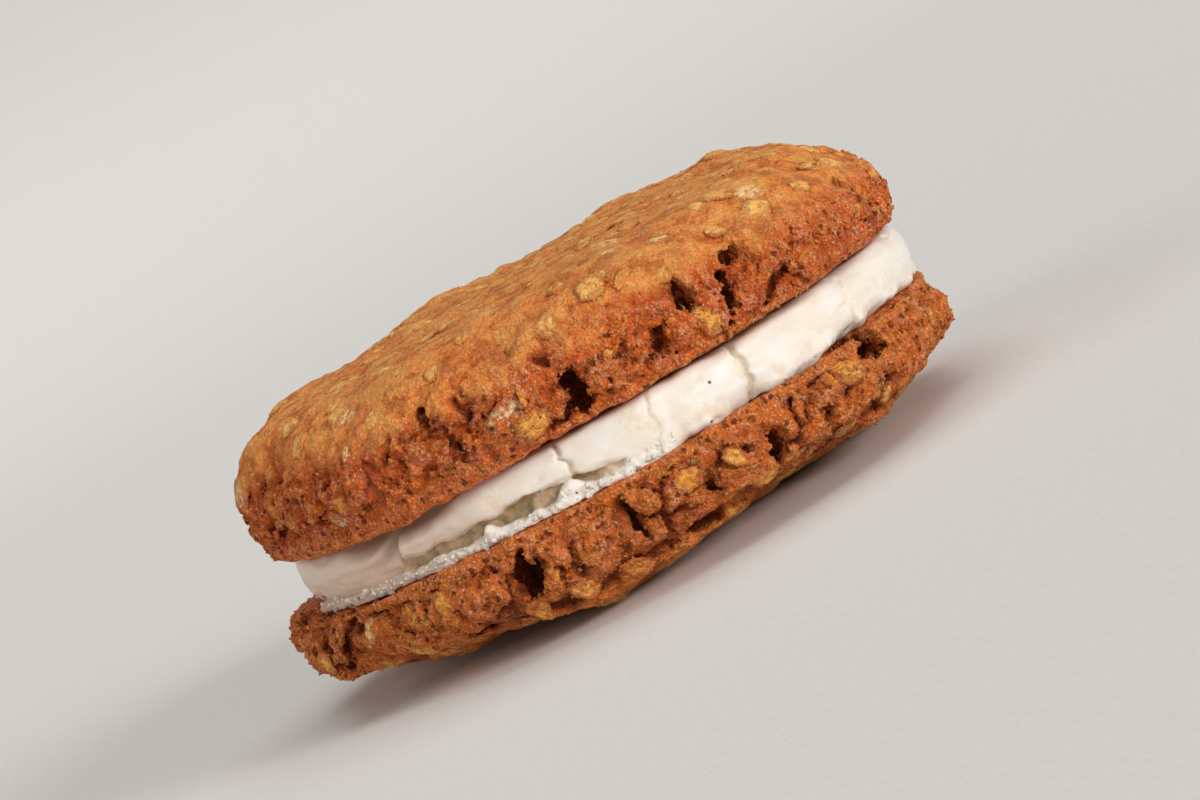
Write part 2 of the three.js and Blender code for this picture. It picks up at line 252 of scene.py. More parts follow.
def mesh_piece(name, points, faces, attributes):
    """A mesh piece from points in millimetres. faces is a list of arrays of triangles or quads."""
    mesh = bpy.data.meshes.new(name)
    loops = [face.reshape(-1) for face in faces if len(face)]
    sides = [np.full(len(face), face.shape[1], np.int32) for face in faces if len(face)]
    loops, sides = np.concatenate(loops), np.concatenate(sides)
    starts = np.concatenate(([0], np.cumsum(sides)[:-1]))
    mesh.vertices.add(len(points))
    mesh.vertices.foreach_set("co", (points * MM).astype(np.float32).ravel())
    mesh.loops.add(len(loops))
    mesh.loops.foreach_set("vertex_index", loops.astype(np.int32))
    mesh.polygons.add(len(sides))
    mesh.polygons.foreach_set("loop_start", starts.astype(np.int32))
    mesh.update(calc_edges=True)
    mesh.validate()
    mesh.polygons.foreach_set("use_smooth", np.ones(len(mesh.polygons), bool))
    for key, values in attributes.items():
        attribute = mesh.attributes.new(key, "FLOAT", "POINT")
        attribute.data.foreach_set("value", values.astype(np.float32))
    piece = bpy.data.objects.new(name, mesh)
    bpy.context.scene.collection.objects.link(piece)
    return piece


# ---------------------------------------------------------------- cookies

COOKIES = {
    "upper_cookie": {
        "flat": UPPER_FLAT,
        "dome": 1,
        "radius": 44.9,
        "shoulder": 15,
        "craggy_up_to": 10.0,
        "seed": 11,
        "rim_flakes": 12,
        "crust_flakes": 22,
        "extra_rim_flakes": 44,
        "extra_crust_flakes": 150,
        # angle, height over the flat face, width, tall, deep, lean
        "cavities": [
            (-2, 4, 3.0, 6.4, 3.6, 4),
            (25.6, 5.4, 2.2, 6.0, 3.4, -8),
            (19, 6.6, 1.6, 4.4, 3.0, 12),
            (29.6, 8, 3.2, 2.4, 3.0, 30),
            (12.4, 4, 1.6, 4.6, 2.6, -20),
            (-25, 9, 1.7, 4.0, 2.8, -6),
            (-21.6, 5.6, 1.1, 4.4, 2.6, 3),
            (62, 7.6, 2.6, 2.0, 2.6, 20),
        ],
        # angle, height, length, width, spin, stand, how far dough covers it
        "main_flakes": [
            (-9.1, 6.2, 3.4, 2.4, 80, 72, 0.0),
            (-9.5, 2.9, 5.4, 3.6, 8, 8, 0.15),
            (-20.9, 8.4, 5.6, 4.6, 70, 12, 0.3),
            (-75, 9.6, 5.0, 4.0, 60, 14, 0.5),
            (66, 10.5, 4.4, 3.4, 20, 10, 0.2),
        ],
    },
    "lower_cookie": {
        "flat": LOWER_FLAT,
        "dome": -1,
        "radius": 45.4,
        "shoulder": 12.2,
        "craggy_up_to": 9.5,
        "seed": 47,
        "rim_flakes": 11,
        "crust_flakes": 19,
        "extra_rim_flakes": 44,
        "extra_crust_flakes": 90,
        "cavities": [
            (48, 1.8, 5.4, 4.6, 4.6, 25),
            (23, 6, 2.8, 5.4, 3.6, 6),
            (-19, 4.6, 3.4, 6.6, 4.4, 8),
            (-1, 4.8, 1.4, 7.4, 3.0, -3),
            (11, 5.8, 1.6, 5.0, 3.0, -6),
            (9, 9.6, 6.0, 1.8, 2.6, 8),
            (33, 6, 1.8, 3.4, 2.4, -25),
        ],
        "main_flakes": [
            (10.3, 6.3, 3.4, 2.6, 40, 38, 0.1),
            (8.4, 3.4, 4.2, 2.8, 10, 8, 0.3),
            (15.7, 4, 3.6, 2.2, 70, 24, 0.2),
            (-32.6, 3.2, 3.6, 3.2, 60, 8, 0.3),
            (-20.5, 9.4, 4.0, 3.0, 30, 12, 0.45),
            (-49.6, 3, 3.6, 2.6, 80, 10, 0.3),
            (-9, 5.4, 3.8, 2.4, 75, 20, 0.5),
        ],
    },
}
HIDDEN_CAVITIES = 5
PITTED = {"upper_cookie": 4, "lower_cookie": 36}  # the angle where small pits crowd together
GOLDEN_ANGLE = 137.508
RELIEF_REACH = 2.2  # no relief of the dough is deeper or higher
RIM_WIDTH = 9  # the relief of the rim goes this far in from the edge
# The crust's skin fades in from this far under its edge: in the relief, and in the colour
RELIEF_START = -1.5
COLOUR_START = -3.5
FLUSH = 0.05  # the dough stands this far past the flakes that are pressed flat, under the pie or inwards


def every_cavity(cookie):
    """The cavities that the photograph shows, then the solids' own on the sides away from the front."""
    yield from cookie["cavities"]
    seed = cookie["seed"]
    for i in range(HIDDEN_CAVITIES):
        yield (
            78 + 204 * (i + 0.2 + 0.6 * draw(seed + i)) / HIDDEN_CAVITIES,
            3.5 + 4.5 * draw(seed + i + 100),
            1.4 + 2 * draw(seed + i + 200),
            2.4 + 3.6 * draw(seed + i + 300),
            2.4 + 1.6 * draw(seed + i + 400),
            -25 + 50 * draw(seed + i + 500),
        )


def rim_landing(base, node, angle, height):
    """Where a level line from outside meets the rim."""
    cookie = COOKIES[node]
    level = cookie["flat"] + cookie["dome"] * height
    reach = np.arange(52, 28, -0.1)
    return first_inside(base, np.array([place_at(AXIS_X[node], angle, r, level) for r in reach]))


def crust_landing(base, node, angle, radius):
    """Where an upright line from outside meets the crust."""
    cookie = COOKIES[node]
    levels = cookie["flat"] + cookie["dome"] * np.arange(19, 4, -0.1)
    return first_inside(base, np.array([place_at(AXIS_X[node], angle, radius, z) for z in levels]))


def carve(field, base, cavity, node, seed):
    """Cuts one ragged hole or crack into the rim."""
    cookie = COOKIES[node]
    angle, height, width, tall, deep, lean = cavity
    centre = rim_landing(base, node, angle, height)
    window, points = field.local(centre, max(tall, deep * 2) + 2)
    shape = points.shape[:3]
    points = points.reshape(-1, 3)
    warp = np.stack([rough_cloud(points, 2.6, seed + 10 * k, 3) for k in range(3)], axis=1) * 0.8
    offset = points + warp - centre
    turn = math.radians(angle)
    across = offset @ np.array((math.cos(turn), math.sin(turn), 0), np.float32)
    inward = offset @ np.array((-math.sin(turn), math.cos(turn), 0), np.float32)
    up = offset[:, 2] * cookie["dome"]
    tilt = math.radians(lean)
    sideways = across * math.cos(tilt) + up * math.sin(tilt)
    upwards = up * math.cos(tilt) - across * math.sin(tilt)
    sizes = np.array((width / 2, deep, tall / 2), np.float32)
    ball = np.sqrt((sideways / sizes[0]) ** 2 + (inward / sizes[1]) ** 2 + (upwards / sizes[2]) ** 2)
    ball += 0.35 * rough_cloud(points, 1.3, seed + 5, 2)
    hollow = ((1 - ball) * sizes.min()).reshape(shape)
    field.values[window] = np.maximum(field.values[window], hollow)


def skin_share(points, node, start):
    """How far each point has the smoother baked skin of the crust, and its height over the flat face."""
    cookie = COOKIES[node]
    height = (points[:, 2] - cookie["flat"]) * cookie["dome"]
    wander = cloud(points, 9, cookie["seed"] + 1) * 2.0 + cloud(points, 3.5, cookie["seed"] + 2) * 1.1
    top = cookie["craggy_up_to"]
    if cookie["dome"] > 0:
        top = top - 2.5 * np.exp(-(((turned(points, AXIS_X[node])[0] - 50) / 26) ** 2))
    return smoothstep(top + start, top + 3.0, height + wander), height


# Angle, how thick a lip of dough lies along the edge of the flat face there, and how far it hangs past it
LIPS = {
    "upper_cookie": (
        (-125, 0.6, 0), (-100, 1.4, 0.3), (-80, 1.9, 0.4), (-62, 1.8, 0.7), (-42, 1.5, 0.9),
        (-27, 1.2, 0.5), (-12, 0.8, 0), (20, 0.7, 0), (42, 0.2, 0), (55, -1, 0), (105, -1, 0),
        (135, 1.4, 0.5), (160, 1.2, 0.4), (200, 0.7, 0),
    ),
    "lower_cookie": (
        (-110, 0.2, 0), (-55, 0.25, 0), (-32, 1.0, 0), (-5, 0.8, 0), (20, 1.1, 0), (60, 0.6, 0),
        (120, 1.0, 0), (200, 0.5, 0),
    ),
}
LIP_REACH = 3.2  # no lip hangs further
LIP_ZONE = (41, 4)  # a lip stays outside this radius, and below this height over the flat face
LIP_START = (42.5, 43.6)  # the flat face ends between these radii, and a lip may hang past it


def hang_lip(field, node):
    """Adds the ragged lip of dough along the edge of the flat face."""
    cookie = COOKIES[node]
    seed = cookie["seed"]
    spots, points = field.near(REACH - 0.2)
    angle, radius = turned(points, AXIS_X[node])
    height = (points[:, 2] - cookie["flat"]) * cookie["dome"]
    near = (radius > LIP_ZONE[0]) & (height < LIP_ZONE[1])
    spots, points = tuple(s[near] for s in spots), points[near]
    angle, radius, height = angle[near], radius[near], height[near]
    where, thick, hang = np.array(LIPS[node]).T
    angle = np.where(angle < where[0], angle + 360, angle)
    thick, hang = np.interp(angle, where, thick), np.interp(angle, where, hang)
    inset = np.maximum(thick, 1.0)
    centre, level = cookie["radius"] - 0.7 - inset, 0.8 * inset
    thick = thick + 0.34 * cloud(points * (1, 1, 0), 3.6, seed + 230) - 0.1
    thick = thick + 0.28 * cloud(points, 1.7, seed + 231) + 0.16 * cloud(points, 0.9, seed + 232)
    lip = np.hypot(radius - centre, height - np.clip(height, level - hang, level + hang)) - thick
    field.values[spots] = np.minimum(field.values[spots], lip)


def dough_relief(node, points):
    """How far the dough stands out of the softened solid at each point: lumps, cracks and open crumb."""
    cookie = COOKIES[node]
    seed = cookie["seed"]
    skin, height = skin_share(points, node, RELIEF_START)
    craggy = (1 - skin) * smoothstep(0.1, 1.0, height)
    angle, _ = turned(points, AXIS_X[node])
    open_rim = smoothstep(-0.1, 0.6, height)
    left = smoothstep(-8, -32, angle) * smoothstep(-135, -105, angle)

    jagged = drift(points, 1.3, seed + 115, 0.35)
    warp = drift(points, 3.2, seed + 110, 0.9) + jagged
    big, big_next = clumps(points + warp, 6.2, seed + 120)
    small, small_next = clumps(points + warp * 0.7, 2.7, seed + 121)
    relief = (0.5 - big) * (0.8 + 0.3 * left) * craggy
    relief += (0.5 - small) * (0.34 + (0.22 + 0.3 * left) * craggy)
    relief += cloud(points, 1.35, seed + 122) * (0.16 + 0.2 * craggy)
    relief += cloud(points, 0.85, seed + 123) * (0.11 + 0.17 * craggy)
    relief += rough_cloud(points, 7.0, seed + 130, 2) * 0.4 * (1 - 0.5 * craggy)
    relief += cloud(points, 2.6, seed + 132) * 0.2
    crack_zone = craggy * smoothstep(0.0, 0.4, cloud(points, 7, seed + 131))
    relief -= smoothstep(0.17, 0.0, big_next - big) * 1.4 * crack_zone
    relief -= smoothstep(0.16, 0.0, small_next - small) * (0.36 + 0.25 * left) * craggy

    # Open crumb: ragged little pits, crowded where the photographed rim is most open
    crowded = np.exp(-(((angle - PITTED[node]) / 24) ** 2)) * smoothstep(9.5, 5.0, height)
    level = 0.56 - 0.3 * crowded - 0.14 * left - 0.12 * cloud(points, 8, seed + 140)
    pit = cloud(points + jagged * 1.5, 1.7, seed + 141) * 0.75 + cloud(points, 0.9, seed + 142) * 0.25
    relief -= smoothstep(level, level + 0.26, pit) * (0.2 + 1.35 * craggy) * smoothstep(0.6, 1.6, height)
    if cookie["dome"] < 0:
        # The rim's chunks end in a ragged step over the smoother dome
        ledge = 9.3 + 0.9 * cloud(points * (1, 1, 0.2), 6, seed + 150)
        broken = smoothstep(-0.5, 0.2, cloud(points, 12, seed + 151))
        relief -= np.exp(-(((height - ledge) / 0.8) ** 2)) * 0.9 * broken
    return relief * open_rim


def bake_cookie(node):
    """One cookie: the softened solid with its relief, lip and cavities, as the piece that replaces it."""
    cookie = COOKIES[node]
    seed = cookie["seed"]
    base = Field(node, COOKIE_CELL)
    base.soften(FACET_SIZE)
    field = base.copy()

    spots, points = base.near(RELIEF_REACH)
    _, radius = turned(points, AXIS_X[node])
    height = (points[:, 2] - cookie["flat"]) * cookie["dome"]
    seen = (height > 0.1) & ((radius > cookie["radius"] - RIM_WIDTH) | (height > 5))
    spots, points = tuple(s[seen] for s in spots), points[seen]
    field.values[spots] = base.values[spots] - dough_relief(node, points)
    hang_lip(field, node)

    for k, cavity in enumerate(every_cavity(cookie)):
        carve(field, base, cavity, node, seed + 160 + k)

    # The flat face stays flat, and nothing reaches below the table
    levels = (np.arange(field.values.shape[2]) + field.low[2]) * field.cell
    over = (cookie["flat"] - levels) * cookie["dome"]
    across = [(np.arange(n) + low) * field.cell for n, low in zip(field.values.shape, field.low)]
    radius = np.hypot(across[0][:, None] - AXIS_X[node], across[1][None, :])
    under_lip = LIP_REACH * smoothstep(*LIP_START, radius)
    over = over[None, None, :] - under_lip[:, :, None]
    field.values = np.maximum(field.values, over.astype(np.float32))
    field.values = np.maximum(field.values, FLUSH - levels[None, None, :].astype(np.float32))

    points, triangles, quads = field.surface(COOKIE_THINNING)
    rng = np.random.default_rng(seed + 190)
    way = field.slope(points, 0.4)
    skin, height = skin_share(points, node, COLOUR_START)
    shake = rng.normal(0, 0.034, len(points)).astype(np.float32)
    shake *= smoothstep(0, 0.5, height) * (1.5 - 0.6 * skin)
    points = points + way * shake[:, None]
    points[:, 2] = np.maximum(points[:, 2], FLUSH)
    attributes = {"hollow": np.clip(-base.sample(points), -1, 4), "skin": skin}
    piece = mesh_piece(node + "_dough", points, [triangles[:, ::-1], quads[:, ::-1]], attributes)
    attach(piece, "root")
    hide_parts(node)
    return piece, base, field, points, skin


# ---------------------------------------------------------------- crumb grains

GRAIN_CORNERS = np.array([(1, 0, 0), (-1, 0, 0), (0, 1, 0), (0, -1, 0), (0, 0, 1), (0, 0, -1)], np.float32)
GRAIN_FACES = np.array([
    (0, 2, 4), (2, 1, 4), (1, 3, 4), (3, 0, 4), (2, 0, 5), (1, 2, 5), (3, 1, 5), (0, 3, 5),
], np.int32)
GRAINS = 20000  # to a cookie
GRAIN_SIZE = 0.27
SMALLEST, LARGEST = 0.13, 0.52
LOWEST_GRAIN = 0.05  # over the floor


def grain_mesh(centres, sizes, rng, squash=(0.55, 1.0)):
    """Small uneven lumps, one to each centre: their points, faces and a draw for each."""
    count = len(centres)
    turns = rng.normal(size=(count, 4))
    turns /= np.linalg.norm(turns, axis=1, keepdims=True)
    w, x, y, z = turns.T
    rows = np.array([
        (1 - 2 * (y * y + z * z), 2 * (x * y - z * w), 2 * (x * z + y * w)),
        (2 * (x * y + z * w), 1 - 2 * (x * x + z * z), 2 * (y * z - x * w)),
        (2 * (x * z - y * w), 2 * (y * z + x * w), 1 - 2 * (x * x + y * y)),
    ]).transpose(2, 0, 1)
    stretch = rng.uniform(*squash, (count, 1, 3))
    jitter = rng.normal(0, 0.16, (count, len(GRAIN_CORNERS), 3))
    corners = (GRAIN_CORNERS[None] + jitter) * stretch * sizes[:, None, None]
    points = np.einsum("nij,nkj->nki", rows, corners) + centres[:, None, :]
    faces = GRAIN_FACES[None] + (np.arange(count) * len(GRAIN_CORNERS))[:, None, None]
    draws = np.repeat(rng.random(count), len(GRAIN_CORNERS))
    return points.reshape(-1, 3), faces.reshape(-1, 3), draws


def crumb_grains(node, base, field, points, skin, flake_rims):
    """Grains of crumb standing out of the craggy rim, and a few on the crust."""
    cookie = COOKIES[node]
    rng = np.random.default_rng(cookie["seed"] + 300)
    height = (points[:, 2] - cookie["flat"]) * cookie["dome"]
    patches = smoothstep(-0.5, 0.6, cloud(points, 4.5, cookie["seed"] + 301))
    chance = (1 - skin) * (0.3 + 0.7 * patches) + 0.2 * skin * patches
    chance *= (height > 0.3) & (points[:, 2] > 0.8)
    picks = rng.choice(len(points), GRAINS, replace=False, p=chance / chance.sum())
    at = points[picks]
    way = field.slope(at, 0.6)
    sizes = np.clip(np.exp(rng.normal(math.log(GRAIN_SIZE), 0.38, GRAINS)), SMALLEST, LARGEST)
    sizes *= 1 - 0.35 * skin[picks]
    centres = at + way * (sizes * rng.uniform(-0.6, 0.1 - 0.2 * skin[picks], GRAINS))[:, None]
    centres = np.concatenate([centres, flake_rims])
    sizes = np.concatenate([sizes, rng.uniform(0.15, 0.32, len(flake_rims))])
    grains, faces, draws = grain_mesh(centres, sizes, rng)
    grains[:, 2] = np.maximum(grains[:, 2], LOWEST_GRAIN)
    hollow = np.clip(-base.sample(grains), -1, 4)
    rim_skin, _ = skin_share(flake_rims.astype(np.float32), node, COLOUR_START)
    share = np.repeat(np.concatenate([skin[picks], rim_skin]), len(GRAIN_CORNERS))
    piece = mesh_piece(node + "_crumb", grains, [faces], {"draw": draws, "hollow": hollow, "skin": share})
    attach(piece, "root")
    return piece


# ---------------------------------------------------------------- oat flakes

FLAKE_RINGS = 5
FLAKE_SIDES = 20


def flake_frame(facing, spin, stand, dome):
    """Across, along and outward ways of a flake, turned as the solids' flakes are."""
    facing = Vector((facing[0], facing[1], facing[2] * dome))
    turn = Vector((0, 0, 1)).rotation_difference(facing)
    turn = turn @ Quaternion((0, 0, 1), math.radians(spin)) @ Quaternion((1, 0, 0), math.radians(stand))
    frame_rows = np.array(turn.to_matrix().transposed(), np.float32)
    frame_rows[:, 2] *= dome
    return frame_rows


def flake_mesh(length, width, thickness, rng):
    """One rolled oat in its own frame: a ragged oval with a groove along it, thin at the edge."""
    turns = np.arange(FLAKE_SIDES) * 2 * math.pi / FLAKE_SIDES
    edge = 1 + 0.07 * np.sin(2 * turns + rng.uniform(0, 6)) + 0.06 * np.sin(3 * turns + rng.uniform(0, 6))
    edge += 0.05 * np.sin(5 * turns + rng.uniform(0, 6)) + rng.normal(0, 0.05, FLAKE_SIDES)
    if rng.random() < 0.6:
        # A bite broken out of the edge
        notch = rng.integers(0, FLAKE_SIDES)
        depth = rng.uniform(0.12, 0.4)
        apart = (np.arange(FLAKE_SIDES) - notch + FLAKE_SIDES // 2) % FLAKE_SIDES - FLAKE_SIDES // 2
        edge *= 1 - depth * np.exp(-((apart / 1.6) ** 2))
    curl = rng.uniform(-0.35, 0.45)
    twist = rng.uniform(-0.3, 0.3)
    shares = np.linspace(0, 1, FLAKE_RINGS) ** 0.8
    rings = [(share, 1) for share in shares] + [(share, -1) for share in shares[-2:0:-1]]
    rim, side = (np.repeat(column, FLAKE_SIDES) for column in np.array(rings).T)
    x = np.tile(np.cos(turns) * edge, len(rings)) * rim
    y = np.tile(np.sin(turns) * edge, len(rings)) * rim
    z = side * np.sqrt(np.maximum(0, 1 - rim**2.6))
    along, across, up = x * length / 2, y * width / 2, z * thickness / 2
    groove = np.exp(-((y / 0.16) ** 2)) * (1 - rim**2) * 0.16
    up -= np.where(z > 0, groove, 0)
    up += 0.05 * np.sin(across * 9 + 0.8 * np.sin(along * 1.3)) * (z > 0) * (1 - rim**4)
    up += curl * (x * x - 0.3) * 0.5 + twist * x * y * 0.5
    up += rng.normal(0, 0.018, len(up))

    # The first ring shrinks to one point in front, and one more point closes the back
    shape = np.stack([along, across, up], axis=1)
    front, back = shape[:FLAKE_SIDES].mean(axis=0), shape[-FLAKE_SIDES:].mean(axis=0)
    shape = np.vstack([front, shape[FLAKE_SIDES:], back])
    rim = np.concatenate([[0], rim[FLAKE_SIDES:], [0]])
    i = np.arange(FLAKE_SIDES)
    j = (i + 1) % FLAKE_SIDES
    starts = 1 + np.arange(len(rings) - 1) * FLAKE_SIDES
    quads = [np.stack([a + i, a + FLAKE_SIDES + i, a + FLAKE_SIDES + j, a + j], axis=1) for a in starts[:-1]]
    front_fan = np.stack([np.zeros_like(i), 1 + i, 1 + j], axis=1)
    back_fan = np.stack([starts[-1] + i, np.full_like(i, len(shape) - 1), starts[-1] + j], axis=1)
    return shape, np.concatenate(quads), np.concatenate([front_fan, back_fan]), rim


def flake_plan(node, base):
    """Every flake of a cookie: place, size, spin, stand, how deep it is sunk and how far dough covers it."""
    cookie = COOKIES[node]
    seed = cookie["seed"]
    plan = []
    for angle, height, length, width, spin, stand, cover in cookie["main_flakes"]:
        plan.append((rim_landing(base, node, angle, height), length, width, spin, stand, 0.0, cover))

    def size(k):
        return 3.8 + 1.6 * draw(k), 3 + draw(k + 50), 180 * draw(k + 100)

    for i in range(cookie["rim_flakes"]):
        key = seed * 7 + i
        height = 2.6 + (cookie["shoulder"] - 5.4) * draw(key + 150)
        length, width, spin = size(key)
        spot = rim_landing(base, node, i * GOLDEN_ANGLE + 20, height)
        plan.append((spot, length, width, spin, 4 + 18 * draw(key + 200), 0.12, 0.35))
    for i in range(cookie["crust_flakes"]):
        key = seed * 13 + i
        radius = (cookie["radius"] - 3) * math.sqrt((i + 0.6) / cookie["crust_flakes"])
        length, width, spin = size(key)
        spot = crust_landing(base, node, i * GOLDEN_ANGLE, radius)
        plan.append((spot, length, width, spin, 2 + 8 * draw(key + 200), 0.14, 0.12))
    # Smaller and deeper flakes between them
    for i in range(cookie["extra_rim_flakes"]):
        key = seed * 17 + i
        height = 1.8 + (cookie["shoulder"] - 3.5) * draw(key + 150)
        scale = 0.5 + 0.5 * draw(key + 250)
        length, width, spin = size(key)
        spot = rim_landing(base, node, i * GOLDEN_ANGLE + 70, height)
        sink, cover = 0.08 + 0.25 * draw(key + 300), 0.35 + 0.5 * draw(key + 350)
        plan.append((spot, length * scale, width * scale, spin, 30 * draw(key + 200), sink, cover))
    for i in range(cookie["extra_crust_flakes"]):
        key = seed * 19 + i
        radius = (cookie["radius"] - 2) * math.sqrt((i + 0.3) / cookie["extra_crust_flakes"])
        scale = 0.55 + 0.5 * draw(key + 250)
        length, width, spin = size(key)
        spot = crust_landing(base, node, i * GOLDEN_ANGLE + 50, radius)
        sink, cover = 0.04 + 0.18 * draw(key + 300), 0.4 * draw(key + 350)
        plan.append((spot, length * scale, width * scale, spin, 7 * draw(key + 200), sink, cover))
    return [flake for flake in plan if flake[0] is not None and not over_cavity(flake[0], node)]


def over_cavity(spot, node):
    """Whether a flake would lie in or over one of the holes."""
    cookie = COOKIES[node]
    angle, radius = turned(spot, AXIS_X[node])
    height = (spot[2] - cookie["flat"]) * cookie["dome"]
    for where, level, width, tall, _, _ in every_cavity(cookie):
        across = math.radians((angle - where + 180) % 360 - 180) * radius
        if (across / (width / 2 + 1.3)) ** 2 + ((height - level) / (tall / 2 + 1.0)) ** 2 < 1:
            return True
    return False


def oat_flakes(node, base, field):
    """All flakes of a cookie as one piece, and points on their rims, where grains of crumb cling."""
    cookie = COOKIES[node]
    rng = np.random.default_rng(cookie["seed"] + 400)
    points, quads, triangles, rims, count = [], [], [], [], 0
    marks = {"rim": [], "along": [], "across": [], "draw": [], "cover": []}
    for spot, length, width, spin, stand, sink, cover in flake_plan(node, base):
        facing = base.slope(spot[None], 2.0)[0]
        spot = spot - facing * float(field.sample(spot[None])[0])
        shape, flake_quads, flake_triangles, rim = flake_mesh(length, width, rng.uniform(0.45, 0.75), rng)
        rows = flake_frame(facing, spin, stand, cookie["dome"])
        lying = math.cos(math.radians(stand)) ** 4
        foot = shape * (1, 1, 0) @ rows + spot
        drape = np.clip(0.3 * field.sample(foot) + 0.7 * base.sample(foot), -1.2, 1.2) * 0.8 * lying
        depth = sink * (1 - 0.6 * math.sin(math.radians(stand))) + drape[:, None]
        placed = shape @ rows + spot - facing * depth
        placed[:, 2] = np.maximum(placed[:, 2], 0)
        if cookie["dome"] < 0:
            flake_quads, flake_triangles = flake_quads[:, ::-1], flake_triangles[:, ::-1]
        points.append(placed)
        quads.append(flake_quads + count)
        triangles.append(flake_triangles + count)
        count += len(placed)
        marks["rim"].append(rim)
        marks["along"].append(shape[:, 0])
        marks["across"].append(shape[:, 1])
        if lying > 0.6:
            rims.append(rng.permutation(placed[rim > 0.93])[:9])
        marks["draw"].append(np.full(len(shape), rng.random()))
        marks["cover"].append(np.full(len(shape), cover))
    points = np.concatenate(points)
    height = (points[:, 2] - cookie["flat"]) * cookie["dome"]
    points[:, 2] += np.maximum(FLUSH - height, 0) * cookie["dome"]
    attributes = {key: np.concatenate(values) for key, values in marks.items()}
    attributes["skin"] = skin_share(points, node, COLOUR_START)[0]
    attributes["hollow"] = np.clip(-base.sample(points), -1, 4)
    piece = mesh_piece(node + "_oats", points, [np.concatenate(quads), np.concatenate(triangles)], attributes)
    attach(piece, "root")
    rims = np.concatenate(rims)
    return piece, rims[rims[:, 2] > 0.7]


# ---------------------------------------------------------------- buttercream

CREAM_RADIUS = 42.4
CREAM_CORE = 38  # the cream stays as the solid has it up to this far out
CREAM_REACH = 3.4  # no relief of the cream is deeper or higher
CRACK_MIDDLE = 3.4  # a crack leans about this height over the cream's foot
# Angle, lean, width, depth
CREAM_CRACKS = [
    (-43.5, 10, 0.75, 0.9), (-8.7, -12, 0.42, 0.6), (22.9, 9, 0.5, 0.8), (48.5, 4, 0.42, 0.5),
    (6, 14, 0.34, 0.25), (97, -8, 0.42, 0.5), (139, 6, 0.42, 0.6), (-173, 10, 0.42, 0.5),
    (-118, -5, 0.42, 0.5),
]
# Angle, height over the cream's foot, and reach
OILY_SPOTS = [(33.2, 5.4, 1.0), (-22.2, 4.6, 1.2), (28, 1.2, 0.7), (3, 5.0, 1.4), (-30, 2.2, 1.4)]
# Angle, height of the smooth band's torn lower edge, and how deep the hollow under it is
TORN_EDGE = [
    (-80, -0.6, 0.0), (-72, 0.8, 0.5), (-46, 0.9, 0.6), (-43, 2.1, 1.2), (-35, 2.2, 1.3), (-26, 2.4, 1.3),
    (-20, 2.7, 1.4), (-12, 2.7, 1.3), (-4, 1.9, 1.0), (4, 0.9, 0.35), (9, -0.6, 0.0), (112, -0.6, 0.0),
    (118, 1.2, 0.9), (134, 2.2, 1.3), (148, 1.7, 1.2), (158, -0.6, 0.0),
]
# Angle, height and reach of the larger scraps left standing on the lower cookie
SCRAPS = [
    (-66, 0.7, 8), (-52, 0.7, 4), (-36, 1.0, 3), (-25, 1.8, 1.8), (-17, 1.0, 2), (-10, 2.1, 3.0),
    (0.5, 1.5, 2.4), (7, 0.9, 2), (121, 1.0, 2), (130, 1.7, 2.5), (141, 1.2, 2), (150, 1.4, 2.2),
]


def torn_share(points, angle, up):
    """Where the cream is torn away, the height of the ragged edge over that, and how deep it goes."""
    where, edge, depth = np.array(TORN_EDGE).T
    edge, depth = np.interp(angle, where, edge), np.interp(angle, where, depth)
    ragged = 0.4 * cloud(points * (1, 1, 0.4), 2.4, 511) + 0.16 * cloud(points, 1.0, 512)
    edge = (edge + ragged * smoothstep(0, 1, depth)).astype(np.float32)
    return smoothstep(edge + 0.12, edge - 0.25, up) * smoothstep(0, 0.3, depth), edge, depth


def crack_offset(angle, up, where, lean):
    """How far along the band each point lies from a crack."""
    return np.radians(angle - where) * CREAM_RADIUS - math.tan(math.radians(lean)) * (up - CRACK_MIDDLE)


def cream_recess(angle, up):
    """How far the band's top edge is drawn back, 0 to 1."""
    wide = smoothstep(-60, -49, angle) * smoothstep(-22, -40, angle) * smoothstep(3.2, 6.0, up)
    crack = np.exp(-(((angle + 45.5 - 0.9 * (up - CRACK_MIDDLE)) / 2.4) ** 2)) * smoothstep(1.6, 4.4, up)
    return np.maximum(wide, crack)


